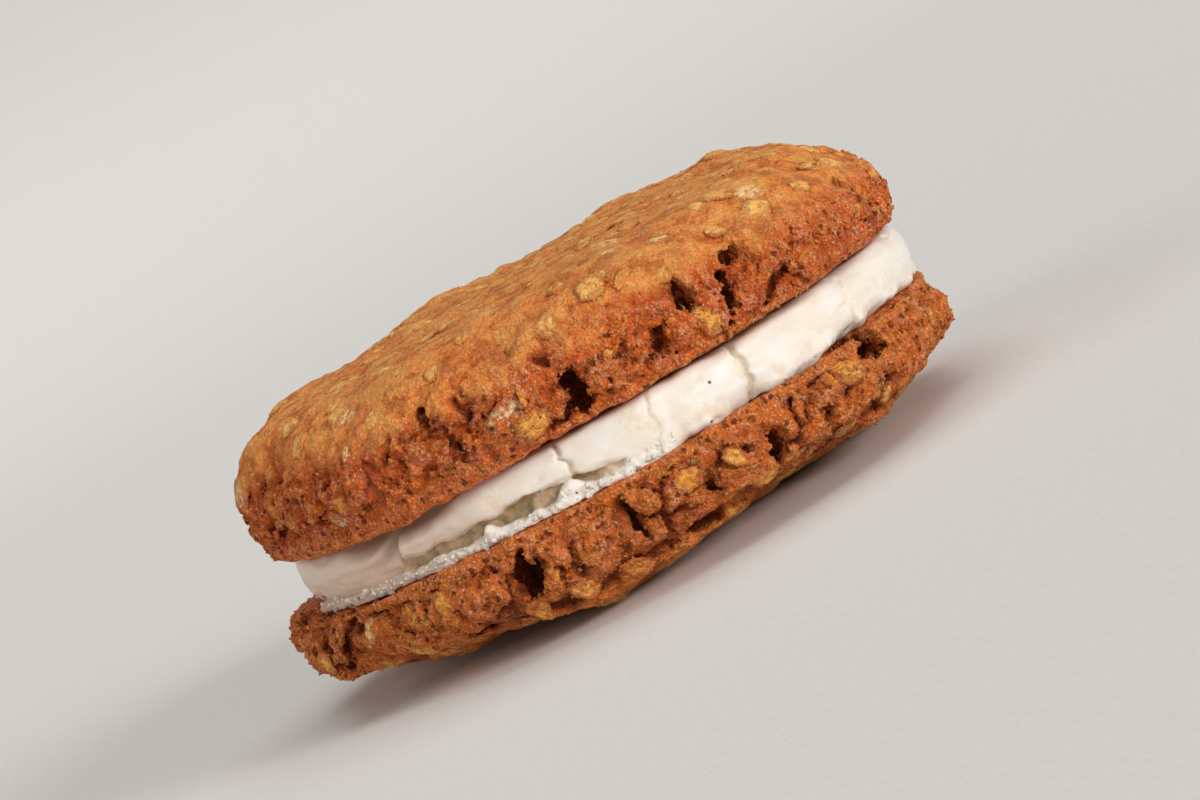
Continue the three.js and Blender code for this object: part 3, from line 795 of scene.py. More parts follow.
def bake_cream(lower_field):
    """The cream: a smooth cracked band, torn away along its foot, as the piece that replaces the solid."""
    field = Field("cream_filling", CREAM_CELL)
    field.soften(FACET_SIZE)
    base = field.copy()
    spots, points = field.near(CREAM_REACH)
    angle, radius = turned(points, AXIS_X["cream_filling"])
    seen = radius > CREAM_CORE
    spots, points = tuple(s[seen] for s in spots), points[seen]
    angle, radius, up = angle[seen], radius[seen], points[:, 2] - CREAM_LOW
    distance = field.values[spots]

    # The lower edge sags on to the cookie below, unevenly
    sag = 0.45 + 0.5 * cloud(points * (1, 1, 0.1), 5, 520)
    sag = np.clip(sag, 0, 1.2) * smoothstep(3.2, 0.6, up)
    lifted = points + np.stack([np.zeros_like(sag)] * 2 + [sag], axis=1)
    distance = np.minimum(distance, field.sample(lifted))

    side = smoothstep(CREAM_CORE + 0.5, CREAM_CORE + 2.5, radius)
    arc = np.radians(angle) * CREAM_RADIUS
    sweep = np.stack([arc / 7, up * 0.9, radius * 0.1], axis=1).astype(np.float32)
    relief = rough_cloud(points * (1, 1, 1.4), 7, 530, 2) * 0.22
    relief += cloud(sweep, 1.0, 531) * 0.12 + cloud(points, 1.6, 532) * 0.05
    # Little pocks and drags left by the spreading
    relief -= smoothstep(0.55, 0.9, cloud(points * (1, 1, 1.8), 2.3, 535)) * 0.22
    low_edge = 1 - smoothstep(0.2, 1.9, up)
    relief += low_edge * (cloud(points * (1, 1, 0.4), 3.4, 533) * 0.5 + cloud(points, 1.2, 534) * 0.16)
    torn, edge, hollow = torn_share(points, angle, up)
    broken = drift(points, 1.2, 544, 0.4)
    lumps, _ = clumps(points + broken, 1.5, 540)
    bits, _ = clumps(points + broken * 0.6, 0.8, 543)
    rough = (0.5 - lumps) * 0.5 + (0.5 - bits) * 0.45 + cloud(points, 0.6, 547) * 0.12
    strip = 0.55 + 0.35 * cloud(points * (1, 1, 0), 2.2, 548)
    for where, tall, reach in SCRAPS:
        strip = np.maximum(strip, tall * np.exp(-(((angle - where) / reach) ** 2)))
    scraps = smoothstep(0.3, -0.25, up - strip + 0.3 * cloud(points, 1.3, 541))
    hollow = hollow * (1 + 0.3 * cloud(points, 2.4, 551) + 0.2 * cloud(points, 1.0, 552))
    torn_reach = CREAM_RADIUS + 0.1 + rough * (0.8 + 0.4 * scraps) - (hollow + 0.25) * (1 - scraps)
    torn_reach = torn_reach + scraps * (0.2 + 0.35 * cloud(points * (1, 1, 0), 4.0, 549))
    # A thin lip along the band's torn edge, and the lobe at its left end set back
    relief += smoothstep(0.4, 1.2, hollow) * np.exp(-(((up - edge - 0.4) / 0.4) ** 2)) * 0.16
    relief -= 0.5 * smoothstep(-42.5, -44.5, angle) * smoothstep(-86, -74, angle)
    # The top edge draws back under the upper cookie, round the wide crack at the left
    relief -= cream_recess(angle, up) * (1.3 + 0.3 * cloud(points, 3.0, 553))
    for k, (where, lean, width, depth) in enumerate(CREAM_CRACKS):
        near = np.abs(angle - where) < 7
        bend = rough_cloud(points[near] * (0.05, 0.05, 1), 2.2, 550 + k, 4, 0.6) * 0.55
        offset = crack_offset(angle[near], up[near], where, lean) - bend
        fade = smoothstep(-0.8, 0.8, up[near]) * smoothstep(8.0, 5.6, up[near])
        cut = smoothstep(width, width * 0.2, np.abs(offset)) * depth
        lip = 0.07 * np.exp(-(((offset - width * 1.6) / 0.7) ** 2))
        relief[near] += (lip - cut) * fade
    distance = distance - relief * side
    torn_distance = np.maximum((radius - torn_reach) * 0.9, -0.8 - 0.3 * cloud(points, 2.0, 536) - up)
    distance = distance * (1 - torn) + torn_distance * torn
    clearance = 0.1 - lower_field.sample(points)
    distance = np.maximum(distance, np.where(radius > CREAM_CORE + 0.5, clearance, -REACH))
    field.values[spots] = distance
    levels = (np.arange(field.values.shape[2]) + field.low[2]) * field.cell
    field.values = np.maximum(field.values, (levels - CREAM_HIGH)[None, None, :].astype(np.float32))

    points, triangles, quads = field.surface(CREAM_THINNING)
    angle, radius = turned(points, AXIS_X["cream_filling"])
    up = points[:, 2] - CREAM_LOW
    torn, edge, _ = torn_share(points, angle, up)
    oily = np.zeros(len(points), np.float32)
    for where, lean, _, _ in CREAM_CRACKS:
        offset = crack_offset(angle, up, where, lean)
        oily = np.maximum(oily, np.exp(-((offset / 1.1) ** 2)) * 0.7)
    for where, height, reach in OILY_SPOTS:
        spot = place_at(AXIS_X["cream_filling"], where, CREAM_RADIUS, CREAM_LOW + height)
        oily = np.maximum(oily, np.exp(-((np.linalg.norm(points - spot, axis=1) / reach) ** 2)))
    hollow = np.clip((1 - torn) * -base.sample(points) + torn * (CREAM_RADIUS - 0.2 - radius), -1, 3)
    # Where painted shade falls right under the band's torn edge
    under = torn * np.exp(-(((up - edge + 0.35) / 0.45) ** 2))
    # Where painted shade goes, in the drawn-back top edge
    sunk = base.sample(points) + 0.5 * cloud(points, 2.0, 554)
    shade = cream_recess(angle, up) * smoothstep(0.5, -0.9, sunk)
    attributes = {"torn": torn, "oily": oily, "hollow": hollow, "under": under, "shade": shade}
    piece = mesh_piece("cream_band", points, [triangles[:, ::-1], quads[:, ::-1]], attributes)
    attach(piece, "root")
    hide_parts("cream_filling")
    return piece, field


def land_on_cream(field, angle, height):
    """Where a level line from outside meets the cream."""
    reach = np.arange(50, 34, -0.06)
    return first_inside(field, np.array([place_at(AXIS_X["cream_filling"], angle, r, height) for r in reach]))


CREAM_CRUMB_TRIES = 700
LEDGE_RADIUS = 41.6  # crumbs lie no further in than this
FALLEN_CRUMBS = 44
LARGEST_CRUMB = (16.7, 17.9)  # angle and height of the one that shows in the middle of the band
LARGEST_CRUMB_SIZE = 0.34


def cream_crumbs(cream_field):
    """Bits torn off the cream: on its torn ledge and along its lower edge."""
    rng = np.random.default_rng(600)
    spots, sizes = [], []
    for _ in range(CREAM_CRUMB_TRIES):
        torn = rng.random() < 0.75
        angle = rng.uniform(-72, 8) if rng.random() < 0.7 else rng.uniform(116, 152)
        if not torn:
            angle = rng.uniform(-180, 180)
        height = CREAM_LOW + (rng.uniform(-0.1, 1.6) if torn else rng.uniform(-0.2, 0.6))
        spot = land_on_cream(cream_field, angle, height)
        if spot is not None and turned(spot, AXIS_X["cream_filling"])[1] > LEDGE_RADIUS:
            spots.append(spot)
            sizes.append(rng.uniform(0.12, 0.32) if rng.random() < 0.85 else rng.uniform(0.32, 0.6))
    points, faces, draws = grain_mesh(np.array(spots), np.array(sizes), rng, (0.6, 1.0))
    piece = mesh_piece("cream_crumbs", points, [faces], {"draw": draws})
    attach(piece, "root")
    return piece


def dough_crumbs(cream_field):
    """Brown crumbs fallen on the cream and along the join with the lower cookie."""
    rng = np.random.default_rng(610)
    spots = [land_on_cream(cream_field, *LARGEST_CRUMB)]
    sizes = [LARGEST_CRUMB_SIZE]
    for _ in range(FALLEN_CRUMBS):
        low = rng.random() < 0.95
        height = rng.uniform(13.7, 14.6) if low else rng.uniform(14.5, 20.4)
        spot = land_on_cream(cream_field, rng.uniform(-180, 180), height)
        if spot is not None:
            spots.append(spot)
            sizes.append(rng.uniform(0.1, 0.3))
    points, faces, draws = grain_mesh(np.array(spots), np.array(sizes), rng, (0.6, 1.0))
    marks = {"draw": draws, "hollow": np.zeros(len(draws)), "skin": np.zeros(len(draws))}
    piece = mesh_piece("dough_crumbs", points, [faces], marks)
    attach(piece, "root")
    return piece


# ---------------------------------------------------------------- finishes

def paint(red, green, blue):
    """A colour as seen on a screen, from 0 to 255, in the shader's own units."""
    def linear(value):
        value /= 255
        return value / 12.92 if value <= 0.04045 else ((value + 0.055) / 1.055) ** 2.4
    return (linear(red), linear(green), linear(blue), 1)


class Mixer:
    """Short ways to place shader nodes in one tree."""

    def __init__(self, tree):
        self.tree = tree

    def node(self, kind, inputs=None, **settings):
        made = self.tree.nodes.new(kind)
        for key, value in settings.items():
            setattr(made, key, value)
        for key, value in (inputs or {}).items():
            if isinstance(value, bpy.types.NodeSocket):
                self.tree.links.new(value, made.inputs[key])
            else:
                made.inputs[key].default_value = value
        return made

    def sum(self, kind, *values):
        return self.node("ShaderNodeMath", dict(enumerate(values)), operation=kind).outputs[0]

    def plus(self, first, second):
        return self.sum("ADD", first, second)

    def minus(self, first, second):
        return self.sum("SUBTRACT", first, second)

    def times(self, first, second):
        return self.sum("MULTIPLY", first, second)

    def times_plus(self, first, second, third):
        return self.sum("MULTIPLY_ADD", first, second, third)

    def mix(self, share, first, second):
        """The second colour over the first."""
        inputs = {0: share, 6: first, 7: second}
        return self.node("ShaderNodeMix", inputs, data_type="RGBA", clamp_factor=True).outputs[2]

    def step(self, value, low, high, to_low=0.0, to_high=1.0):
        inputs = {0: value, 1: low, 2: high, 3: to_low, 4: to_high}
        return self.node("ShaderNodeMapRange", inputs, interpolation_type="SMOOTHSTEP").outputs[0]

    def mark(self, name):
        return self.node("ShaderNodeAttribute", attribute_name=name).outputs["Fac"]

    def places(self):
        """Object coordinates in millimetres."""
        where = self.node("ShaderNodeTexCoord").outputs["Object"]
        return self.node("ShaderNodeVectorMath", {0: where, 3: 1000.0}, operation="SCALE").outputs[0]

    def noise(self, where, scale, detail=3.0, roughness=0.55):
        inputs = {"Vector": where, "Scale": scale, "Detail": detail, "Roughness": roughness}
        return self.node("ShaderNodeTexNoise", inputs).outputs["Fac"]

    def cells(self, where, scale):
        return self.node("ShaderNodeTexVoronoi", {"Vector": where, "Scale": scale})

    def bent(self, where, scale, reach):
        """The same places, pushed about by soft noise."""
        push = self.node("ShaderNodeTexNoise", {"Vector": where, "Scale": scale, "Detail": 2.0})
        inputs = {0: push.outputs["Color"], 1: (reach,) * 3, 2: where}
        return self.node("ShaderNodeVectorMath", inputs, operation="MULTIPLY_ADD").outputs[0]

    def parts(self, where):
        """X, Y and Z of each place."""
        return self.node("ShaderNodeSeparateXYZ", {0: where}).outputs

    def split(self, colour):
        """Three separate draws from a cell's colour."""
        return self.node("ShaderNodeSeparateColor", {0: colour}).outputs


def effect_group(name, takes, gives):
    """An empty node group with named inputs and outputs."""
    group = bpy.data.node_groups.new(name, "ShaderNodeTree")
    for label, kind, start in takes:
        group.interface.new_socket(label, in_out="INPUT", socket_type=kind).default_value = start
    for label, kind in gives:
        group.interface.new_socket(label, in_out="OUTPUT", socket_type=kind)
    mixer = Mixer(group)
    return group, mixer, mixer.node("NodeGroupInput").outputs, mixer.node("NodeGroupOutput").inputs


FLOAT, COLOUR = "NodeSocketFloat", "NodeSocketColor"

# Each cookie's browns: its crumb, its crust and the dark of its holes, which also paints shade into hollows,
# gaps and pores
BROWN_NAMES = ("Crumb", "Crust", "Hollow Colour")
UPPER_BROWNS = (paint(255, 115, 42), paint(248, 154, 74), paint(92, 26, 6))
# The lower cookie's crumb is a lighter brown than the upper's: painted light on its rim, which faces down and
# gets less lamp light
LOWER_BROWNS = (paint(255, 130, 50), paint(222, 124, 48), paint(92, 26, 6))


def baked_dough_group():
    """Brown oat dough: crumb on the rim, a paler skin on the crust, darker crumb and painted shade in its
    hollows and crevices, painted light on its tops, painted sugar glints.
    """
    group, m, given, out = effect_group(
        "baked_dough",
        [
            ("Skin", FLOAT, 0.0), ("Hollow", FLOAT, 0.0), ("Draw", FLOAT, 0.5), ("Draw Share", FLOAT, 0.0),
            *zip(BROWN_NAMES, (COLOUR,) * 3, UPPER_BROWNS),
        ],
        [("Colour", COLOUR), ("Roughness", FLOAT), ("Height", FLOAT)],
    )
    where = m.places()
    broad = m.noise(where, 0.16, 3)
    middle = m.noise(where, 0.6, 4, 0.6)
    fine = m.noise(where, 2.0, 3, 0.62)
    tiny = m.noise(where, 5.0, 2, 0.6)
    bent = m.bent(where, 0.9, 0.8)
    bits = m.cells(bent, 2.1)
    lumps = m.cells(bent, 0.75)
    glints = m.cells(where, 3.0)
    lots = m.split(bits.outputs["Color"])
    lump_lots = m.split(lumps.outputs["Color"])
    glint_lots = m.split(glints.outputs["Color"])
    skin = given["Skin"]
    # How far down in the relief each point lies, for painted light on tops and painted shade in hollows
    level = m.plus(given["Hollow"], m.times_plus(fine, 0.9, -0.45))
    deep = m.mix(0.5, given["Crumb"], given["Hollow Colour"])
    # Painted shade in the gaps between bits of crumb
    gap = m.step(bits.outputs["Distance"], 0.34, 0.62)
    # Rim: each bit of crumb has its own brown, from deep red-brown to moist orange
    tone = m.times_plus(m.minus(fine, 0.5), 0.8, m.times_plus(lots[0], 0.6, 0.35))
    tone = m.times_plus(m.minus(middle, 0.5), 1.5, tone)
    own = m.times(m.minus(given["Draw"], tone), given["Draw Share"])
    tone = m.plus(tone, own)
    crumb = m.mix(m.step(tone, 0.06, 0.38), deep, given["Crumb"])
    crumb = m.mix(m.step(tone, 0.45, 0.82), crumb, paint(255, 166, 94))
    crumb = m.mix(m.step(broad, 0.5, 0.36, 0, 0.4), crumb, deep)
    # Painted shade: darker towards the left, where the rim turns away from the key light
    along = m.parts(where)[0]
    crumb = m.mix(m.step(along, -6, -34, 0, 0.35), crumb, deep)
    amber = m.times(m.step(lump_lots[0], 0.68, 0.74), m.step(lumps.outputs["Distance"], 0.6, 0.35))
    crumb = m.mix(m.times(amber, 0.6), crumb, paint(242, 134, 18))
    # Sugar shows as pinkish grains, crowded in patches: partly its own pale colour, partly painted highlight
    sugar_and_highlight = m.times(m.step(m.noise(where, 0.33, 3), 0.44, 0.58), m.step(lots[1], 0.4, 0.55))
    crumb = m.mix(m.times(sugar_and_highlight, 0.6), crumb, paint(242, 172, 144))
    # Painted light over the tops of the relief
    crumb = m.mix(m.step(level, 0.1, -0.45, 0, 0.5), crumb, paint(252, 158, 84))
    # Painted shade in the gaps between bits
    crumb = m.mix(m.times(gap, 0.7), crumb, deep)
    # Painted shade in the crevices between lumps, deeper on the left, where the lamps give the relief little
    # shading
    seam = m.times(m.step(lumps.outputs["Distance"], 0.45, 0.72), m.step(fine, 0.35, 0.6))
    crumb = m.mix(m.times(seam, m.step(along, -6, -34, 0.5, 0.8)), crumb, deep)
    # Painted light on the middles of the lumps
    crumb = m.mix(m.step(lumps.outputs["Distance"], 0.3, 0.1, 0, 0.4), crumb, paint(246, 176, 122))
    # Painted shade down in the hollows, with the darker inner crumb
    crumb = m.mix(m.step(level, 0.05, 0.55, 0, 0.6), crumb, deep)
    # Crust: paler and mottled between tan and brown, with browner pores
    shade = m.times_plus(m.minus(middle, 0.5), 1.3, m.times_plus(lots[2], 0.4, 0.3))
    shade = m.times_plus(m.minus(fine, 0.5), 1.0, shade)
    crust = m.mix(m.step(shade, 0.1, 0.5), m.mix(0.75, given["Crust"], deep), given["Crust"])
    crust = m.mix(m.step(shade, 0.52, 0.95), crust, paint(240, 180, 100))
    crust = m.mix(m.step(broad, 0.42, 0.66, 0, 0.5), crust, paint(234, 166, 84))
    patchy = m.noise(m.bent(where, 0.3, 2.0), 0.34, 4, 0.65)
    crust = m.mix(m.step(patchy, 0.52, 0.4, 0, 0.65), crust, paint(170, 82, 36))
    crust = m.mix(m.step(patchy, 0.56, 0.68, 0, 0.5), crust, paint(246, 190, 112))
    # Painted shade in the gaps between bits
    crust = m.mix(m.times(gap, 0.3), crust, deep)
    # Painted light on the crust's tops, and painted shade in its hollows with the darker inner crumb
    crust = m.mix(m.step(level, 0.1, -0.4, 0, 0.35), crust, paint(240, 176, 100))
    crust = m.mix(m.step(level, 0.1, 0.5, 0, 0.55), crust, deep)
    colour = m.mix(m.step(skin, 0.1, 0.9), crumb, crust)
    # Painted sugar glints, also smoother there, and a few dark specks
    painted_glint = m.times(m.step(glint_lots[0], 0.87, 0.9), m.step(glints.outputs["Distance"], 0.45, 0.3))
    painted_glint = m.times(painted_glint, m.step(skin, 0, 1, 1, 0.4))
    colour = m.mix(m.times(painted_glint, 0.65), colour, paint(248, 208, 180))
    speck = m.times(m.step(glint_lots[1], 0.95, 0.98), m.step(glints.outputs["Distance"], 0.5, 0.2))
    colour = m.mix(m.times(speck, 0.5), colour, given["Hollow Colour"])
    # Pores, crowded in patches of the crumb: painted shade of small pits, with a dent in the height
    pores = m.cells(m.bent(where, 1.4, 0.9), 0.95)
    pore_lots = m.split(pores.outputs["Color"])
    pore = m.times(m.step(pore_lots[0], 0.5, 0.56), m.step(pores.outputs["Distance"], 0.44, 0.24))
    pore = m.times(pore, m.step(m.noise(where, 0.24, 3), 0.4, 0.54))
    pore = m.times(pore, m.step(skin, 0, 0.8, 1, 0.15))
    colour = m.mix(m.times(pore, 0.8), colour, given["Hollow Colour"])
    # Painted shade deep in the hollows, with the darker inner crumb
    sunk = m.step(m.plus(given["Hollow"], m.times(fine, 0.5)), 0.6, 1.5)
    colour = m.mix(m.times(sunk, 0.85), colour, given["Hollow Colour"])
    m.tree.links.new(colour, out["Colour"])
    rough = m.step(middle, 0.35, 0.65, 0.5, 0.7)
    m.tree.links.new(m.minus(rough, m.times(painted_glint, 0.3)), out["Roughness"])
    grain = m.times(m.step(bits.outputs["Distance"], 0.7, 0.0), m.times_plus(lots[0], 0.2, 0.16))
    total = m.plus(m.plus(grain, m.times(fine, 0.5)), m.times(tiny, 0.2))
    total = m.times(total, m.step(skin, 0, 1, 1.1, 0.8))
    total = m.minus(total, m.times(pore, 0.45))
    seam = m.times(seam, m.step(skin, 0, 1, 0.35, 0))
    total = m.minus(total, seam)
    m.tree.links.new(m.minus(total, m.times(speck, 0.12)), out["Height"])
    return group


def finish_material(name, build):
    """A new material: build places its nodes and gives colour, roughness, height and plain values."""
    material = bpy.data.materials.new(name)
    material.use_nodes = True
    m = Mixer(material.node_tree)
    shader = material.node_tree.nodes["Principled BSDF"]
    colour, roughness, height, plain = build(m)
    material.node_tree.links.new(colour, shader.inputs["Base Color"])
    material.node_tree.links.new(roughness, shader.inputs["Roughness"])
    bump = m.node("ShaderNodeBump", {"Height": height, "Distance": MM, "Strength": 1.0})
    material.node_tree.links.new(bump.outputs["Normal"], shader.inputs["Normal"])
    for key, value in plain.items():
        shader.inputs[key].default_value = value
    return material


# Moist crumb lets a little light through
DOUGH_BODY = {
    "Subsurface Weight": 0.35, "Subsurface Radius": (1.0, 0.3, 0.08), "Subsurface Scale": 0.0008,
    "Specular IOR Level": 0.2,
}


def placed_dough(m, group, browns, own=None):
    """The dough group in a material, with that cookie's browns and the piece's own values."""
    takes = {"Skin": m.mark("skin"), "Hollow": m.mark("hollow"), **(own or {})}
    takes.update(zip(BROWN_NAMES, browns))
    return m.node("ShaderNodeGroup", takes, node_tree=group).outputs


def dough_finish(group, browns, grains=False):
    """Dough alone; each grain of crumb also has its own shade."""
    def build(m):
        own = {"Draw": m.mark("draw"), "Draw Share": 0.7} if grains else None
        dough = placed_dough(m, group, browns, own)
        return dough["Colour"], dough["Roughness"], dough["Height"], DOUGH_BODY
    return build


def oat_finish(group, browns):
    """Pale rolled oat with fibres along it, browned and half covered with dough at its edge."""
    def build(m):
        dough = placed_dough(m, group, browns)
        where = m.places()
        # Fibres run along each flake, and differ from flake to flake
        scales = {"along": 0.5, "across": 4.2, "draw": 60}
        stretched = [m.times(m.mark(name), scale) for name, scale in scales.items()]
        own = m.node("ShaderNodeCombineXYZ", dict(enumerate(stretched))).outputs[0]
        fibre = m.noise(own, 1.0, 3, 0.6)
        patch = m.noise(where, 1.3, 4, 0.65)
        pale = m.mix(m.mark("draw"), paint(236, 144, 40), paint(246, 186, 92))
        pale = m.mix(m.step(m.mark("draw"), 0.88, 0.92), pale, paint(250, 220, 176))
        pale = m.mix(m.times(m.mark("skin"), 0.6), pale, paint(250, 204, 124))
        oat = m.mix(m.step(fibre, 0.32, 0.68), m.mix(0.45, pale, paint(206, 110, 30)), pale)
        oat = m.mix(m.step(patch, 0.45, 0.7, 0, 0.45), oat, paint(236, 134, 36))
        cover = m.plus(m.step(m.mark("rim"), 0.35, 1.0, 0, 0.8), m.step(patch, 0.3, 0.7, -0.6, 0.6))
        cover = m.step(m.plus(cover, m.mark("cover")), 0.25, 1.15)
        colour = m.mix(m.times(cover, 0.95), oat, dough["Colour"])
        own_share = m.times_plus(cover, 0.6, 0.35)
        height = m.plus(m.times(fibre, 0.12), m.times(dough["Height"], own_share))
        return colour, dough["Roughness"], height, {"Specular IOR Level": 0.3}
    return build


def cream_finish(m):
    """Stiff buttercream: smooth and warm white, chalky where torn, with oily yellow marks."""
    where = m.places()
    broad = m.noise(where, 0.22, 3)
    fine = m.noise(where, 1.6, 4, 0.6)
    torn = m.mark("torn")
    colour = m.mix(m.step(broad, 0.35, 0.7), paint(248, 243, 235), paint(245, 236, 222))
    colour = m.mix(m.step(fine, 0.55, 0.8, 0, 0.3), colour, paint(245, 234, 212))
    # Beige smears in the lower half
    along, _, level = m.parts(where)
    drags = m.noise(m.bent(where, 0.4, 2.5), 0.42, 4, 0.6)
    smear = m.times(m.step(drags, 0.44, 0.62), m.step(level, 18.6, 15.2))
    colour = m.mix(m.times(smear, 0.5), colour, paint(230, 208, 182))
    # Painted shade, a warm brown, where the pie turns away from the light to the left
    left_shade = m.times(m.step(along, -4, -30, 0, 0.6), m.step(torn, 0, 1, 1, 0.3))
    colour = m.mix(left_shade, colour, paint(226, 188, 160))
    oily = m.times(m.mark("oily"), m.step(fine, 0.42, 0.62))
    colour = m.mix(m.times(oily, 0.6), colour, paint(226, 206, 152))
    # Where it is torn away: white scraps; olive and yellow-brown in the hollows, painted shade over the torn
    # cream's yellower tint; a browner band of painted shade right under the band's edge
    sunk = m.times(m.step(m.mark("hollow"), 0.4, 1.0), torn)
    hollow = m.mix(m.step(m.noise(where, 0.35, 3), 0.42, 0.58), paint(190, 158, 122), paint(152, 132, 86))
    hollow = m.mix(m.step(m.noise(where, 0.9, 3, 0.6), 0.45, 0.65, 0, 0.7), hollow, paint(112, 90, 58))
    colour = m.mix(m.times(sunk, 0.9), colour, hollow)
    # Painted shade with a soaked brown where the top edge is drawn back under the upper cookie
    colour = m.mix(m.times(m.mark("shade"), 0.7), colour, paint(132, 98, 66))
    # Painted shade, browner, under the band's overhanging torn edge
    colour = m.mix(m.times(m.mark("under"), 0.4), colour, paint(206, 166, 132))
    rough = m.step(m.plus(m.times(fine, 0.5), m.times(torn, 0.4)), 0.2, 0.7, 0.38, 0.72)
    # The scraps' white turns a greyer pink towards the left as painted shade
    white = m.mix(m.step(along, -10, -34), paint(253, 247, 238), paint(212, 184, 166))
    colour = m.mix(m.times(m.step(m.mark("hollow"), 0.5, 0.1), torn), colour, white)
    rough = m.times_plus(torn, 0.18, rough)
    grain = m.times(m.noise(where, 2.2, 4, 0.6), m.times_plus(torn, 0.1, 0.05))
    plain = {
        "Subsurface Weight": 0.25, "Subsurface Radius": (1.0, 0.85, 0.65), "Subsurface Scale": 0.001,
        "Specular IOR Level": 0.35,
    }
    return colour, rough, grain, plain


def cream_crumb_finish(m):
    """Torn bits of buttercream, each its own white."""
    where = m.places()
    fine = m.noise(where, 2.4, 3, 0.6)
    colour = m.mix(m.mark("draw"), paint(252, 249, 243), paint(240, 229, 208))
    colour = m.mix(m.step(fine, 0.5, 0.75, 0, 0.4), colour, paint(228, 212, 178))
    plain = {"Subsurface Weight": 0.2, "Subsurface Scale": 0.001, "Specular IOR Level": 0.25}
    return colour, m.step(fine, 0.3, 0.7, 0.65, 0.85), m.times(fine, 0.12), plain


upper, upper_base, upper_field, upper_points, upper_skin = bake_cookie("upper_cookie")
lower, lower_base, lower_field, lower_points, lower_skin = bake_cookie("lower_cookie")
upper_oats, upper_rims = oat_flakes("upper_cookie", upper_base, upper_field)
lower_oats, lower_rims = oat_flakes("lower_cookie", lower_base, lower_field)
upper_crumb = crumb_grains("upper_cookie", upper_base, upper_field, upper_points, upper_skin, upper_rims)
lower_crumb = crumb_grains("lower_cookie", lower_base, lower_field, lower_points, lower_skin, lower_rims)
cream, cream_field = bake_cream(lower_field)
torn_crumbs = cream_crumbs(cream_field)
fallen_crumbs = dough_crumbs(cream_field)

dough_group = baked_dough_group()
for pieces, name, build in [
    ([upper], "upper_dough", dough_finish(dough_group, UPPER_BROWNS)),
    ([lower], "lower_dough", dough_finish(dough_group, LOWER_BROWNS)),
    ([upper_crumb], "upper_crumb_grain", dough_finish(dough_group, UPPER_BROWNS, grains=True)),
    ([lower_crumb, fallen_crumbs], "lower_crumb_grain", dough_finish(dough_group, LOWER_BROWNS, grains=True)),
    ([upper_oats], "upper_oat_flake", oat_finish(dough_group, UPPER_BROWNS)),
    ([lower_oats], "lower_oat_flake", oat_finish(dough_group, LOWER_BROWNS)),
    ([cream], "stiff_buttercream", cream_finish),
    ([torn_crumbs], "torn_buttercream", cream_crumb_finish),
]:
    material = finish_material(name, build)
    for piece in pieces:
        piece.data.materials.append(material)


# ---------------------------------------------------------------- floor, light and camera

def paper_finish(m):
    """Pale matt paper, a little greyer where it rises."""
    where = m.places()
    fibres = m.noise(where, 0.8, 3)
    colour = m.mix(m.step(fibres, 0.3, 0.7), paint(238, 236, 232), paint(234, 232, 228))
    rise = m.parts(where)[2]
    colour = m.mix(m.step(rise, 0, 260), colour, paint(206, 204, 200))
    rough = m.step(fibres, 0.3, 0.7, 0.85, 0.92)
    return colour, rough, m.times(fibres, 0.02), {"Specular IOR Level": 0.2}


FLOOR = -0.1 * MM  # a hair under the pie, so that the two never share a surface
FLOOR_RINGS, FLOOR_SIDES = 60, 96
FLAT_FLOOR = 0.8
FLOOR_SWEEP = 3.0  # the radius in which the floor bends up, past the flat
STEEPEST = math.radians(28)


def studio_floor():
    """A round floor, flat in the middle and rising softly all round."""
    mesh = bpy.data.meshes.new("studio_floor")
    vertices, faces = [(0, 0, FLOOR)], []
    for ring in range(1, FLOOR_RINGS + 1):
        t = ring / FLOOR_RINGS
        turn = max(0, t * 2 - 1) * STEEPEST
        radius = FLAT_FLOOR * min(1, t * 2) + FLOOR_SWEEP * math.sin(turn)
        height = FLOOR_SWEEP * (1 - math.cos(turn))
        for side in range(FLOOR_SIDES):
            a = 2 * math.pi * side / FLOOR_SIDES
            vertices.append((radius * math.cos(a), radius * math.sin(a), FLOOR + height))
    for side in range(FLOOR_SIDES):
        following = (side + 1) % FLOOR_SIDES
        faces.append((0, 1 + side, 1 + following))
        for ring in range(FLOOR_RINGS - 1):
            start = 1 + ring * FLOOR_SIDES
            a, b = start + side, start + following
            faces.append((a, a + FLOOR_SIDES, b + FLOOR_SIDES, b))
    mesh.from_pydata(vertices, [], faces)
    mesh.polygons.foreach_set("use_smooth", np.ones(len(faces), bool))
    floor = bpy.data.objects.new("studio_floor", mesh)
    bpy.context.scene.collection.objects.link(floor)
    floor.data.materials.append(finish_material("studio_paper", paper_finish))


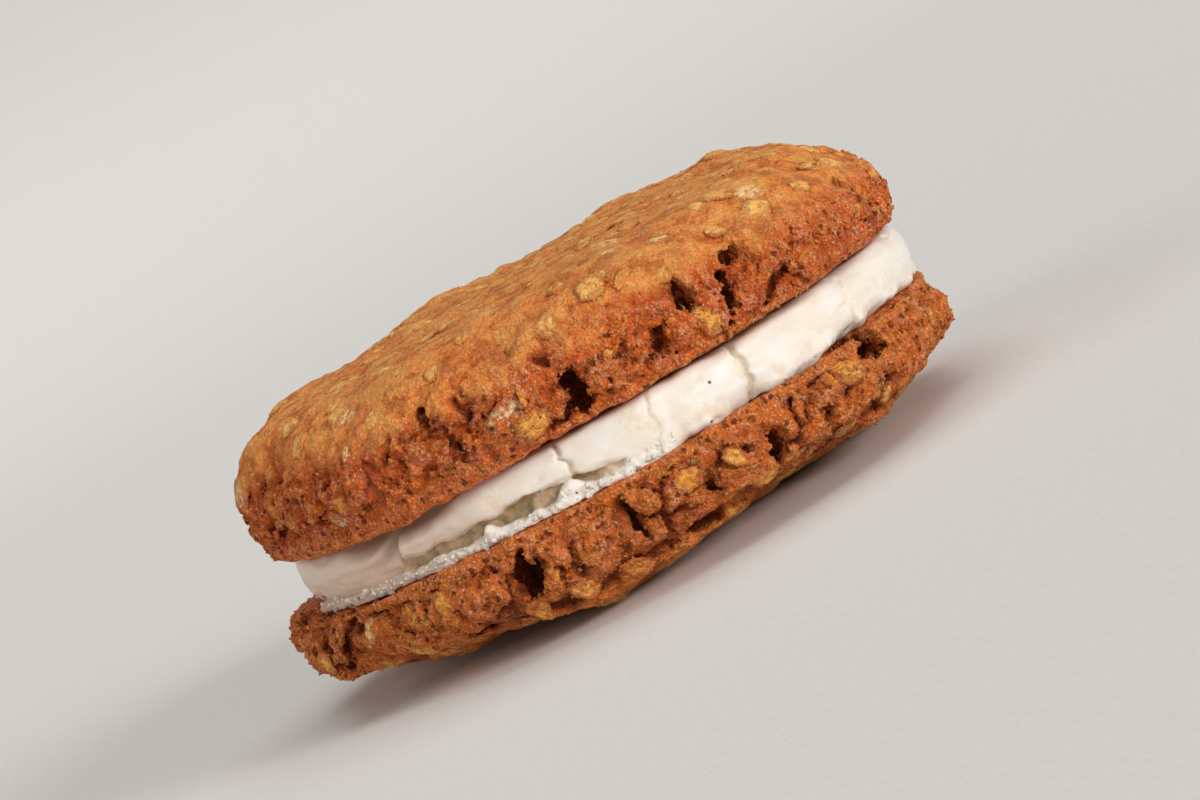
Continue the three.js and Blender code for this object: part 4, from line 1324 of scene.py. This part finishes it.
def soft_sun(name, toward, strength, spread, colour=(1, 1, 1)):
    """Even light from one way, as softened as the spread in degrees."""
    light = bpy.data.lights.new(name, "SUN")
    light.energy = strength
    light.angle = math.radians(spread)
    light.color = colour
    lamp = bpy.data.objects.new(name, light)
    bpy.context.scene.collection.objects.link(lamp)
    lamp.rotation_euler = Vector(toward).to_track_quat("Z", "Y").to_euler()


ELEVATION = math.radians(5.5)
ROLL = math.radians(29.0)
DISTANCE = 0.490
PIXELS_PER_METRE = 8130.0  # of the photograph, at that distance
PHOTO_WIDTH = 1200
AIM = Vector((2.31, 0, 18.3)) * MM


def photo_camera():
    """A camera at the photograph's angle: nearly level, and rolled."""
    camera_data = bpy.data.cameras.new("photo_camera")
    camera_data.sensor_width = 36
    camera_data.lens = camera_data.sensor_width * PIXELS_PER_METRE * DISTANCE / PHOTO_WIDTH
    camera_data.clip_start = 0.01
    camera_data.clip_end = 20
    camera = bpy.data.objects.new("photo_camera", camera_data)
    bpy.context.scene.collection.objects.link(camera)
    back = Vector((0, -math.cos(ELEVATION), math.sin(ELEVATION)))
    camera.location = AIM + back * DISTANCE
    level = back.to_track_quat("Z", "Y")
    camera.rotation_mode = "QUATERNION"
    camera.rotation_quaternion = level @ Quaternion((0, 0, 1), -ROLL)
    bpy.context.scene.camera = camera


WARM_WHITE = (1, 0.985, 0.96)

studio_floor()
soft_sun("key_light", (0.67, -0.70, 0.22), 2.45, 22, WARM_WHITE)
soft_sun("wide_light", (0.08, -0.99, 0.03), 1.2, 70, WARM_WHITE)
soft_sun("left_light", (-0.82, -0.20, 0.52), 0.45, 40, (1, 0.95, 0.9))
soft_sun("top_light", (0.15, 0.15, 1.0), 1.0, 60)
bpy.context.scene.view_settings.view_transform = "Standard"
world = bpy.data.worlds.new("studio_air")
bpy.context.scene.world = world
world.use_nodes = True
world.node_tree.nodes["Background"].inputs["Color"].default_value = (1, 0.98, 0.95, 1)
world.node_tree.nodes["Background"].inputs["Strength"].default_value = 0.17
photo_camera()
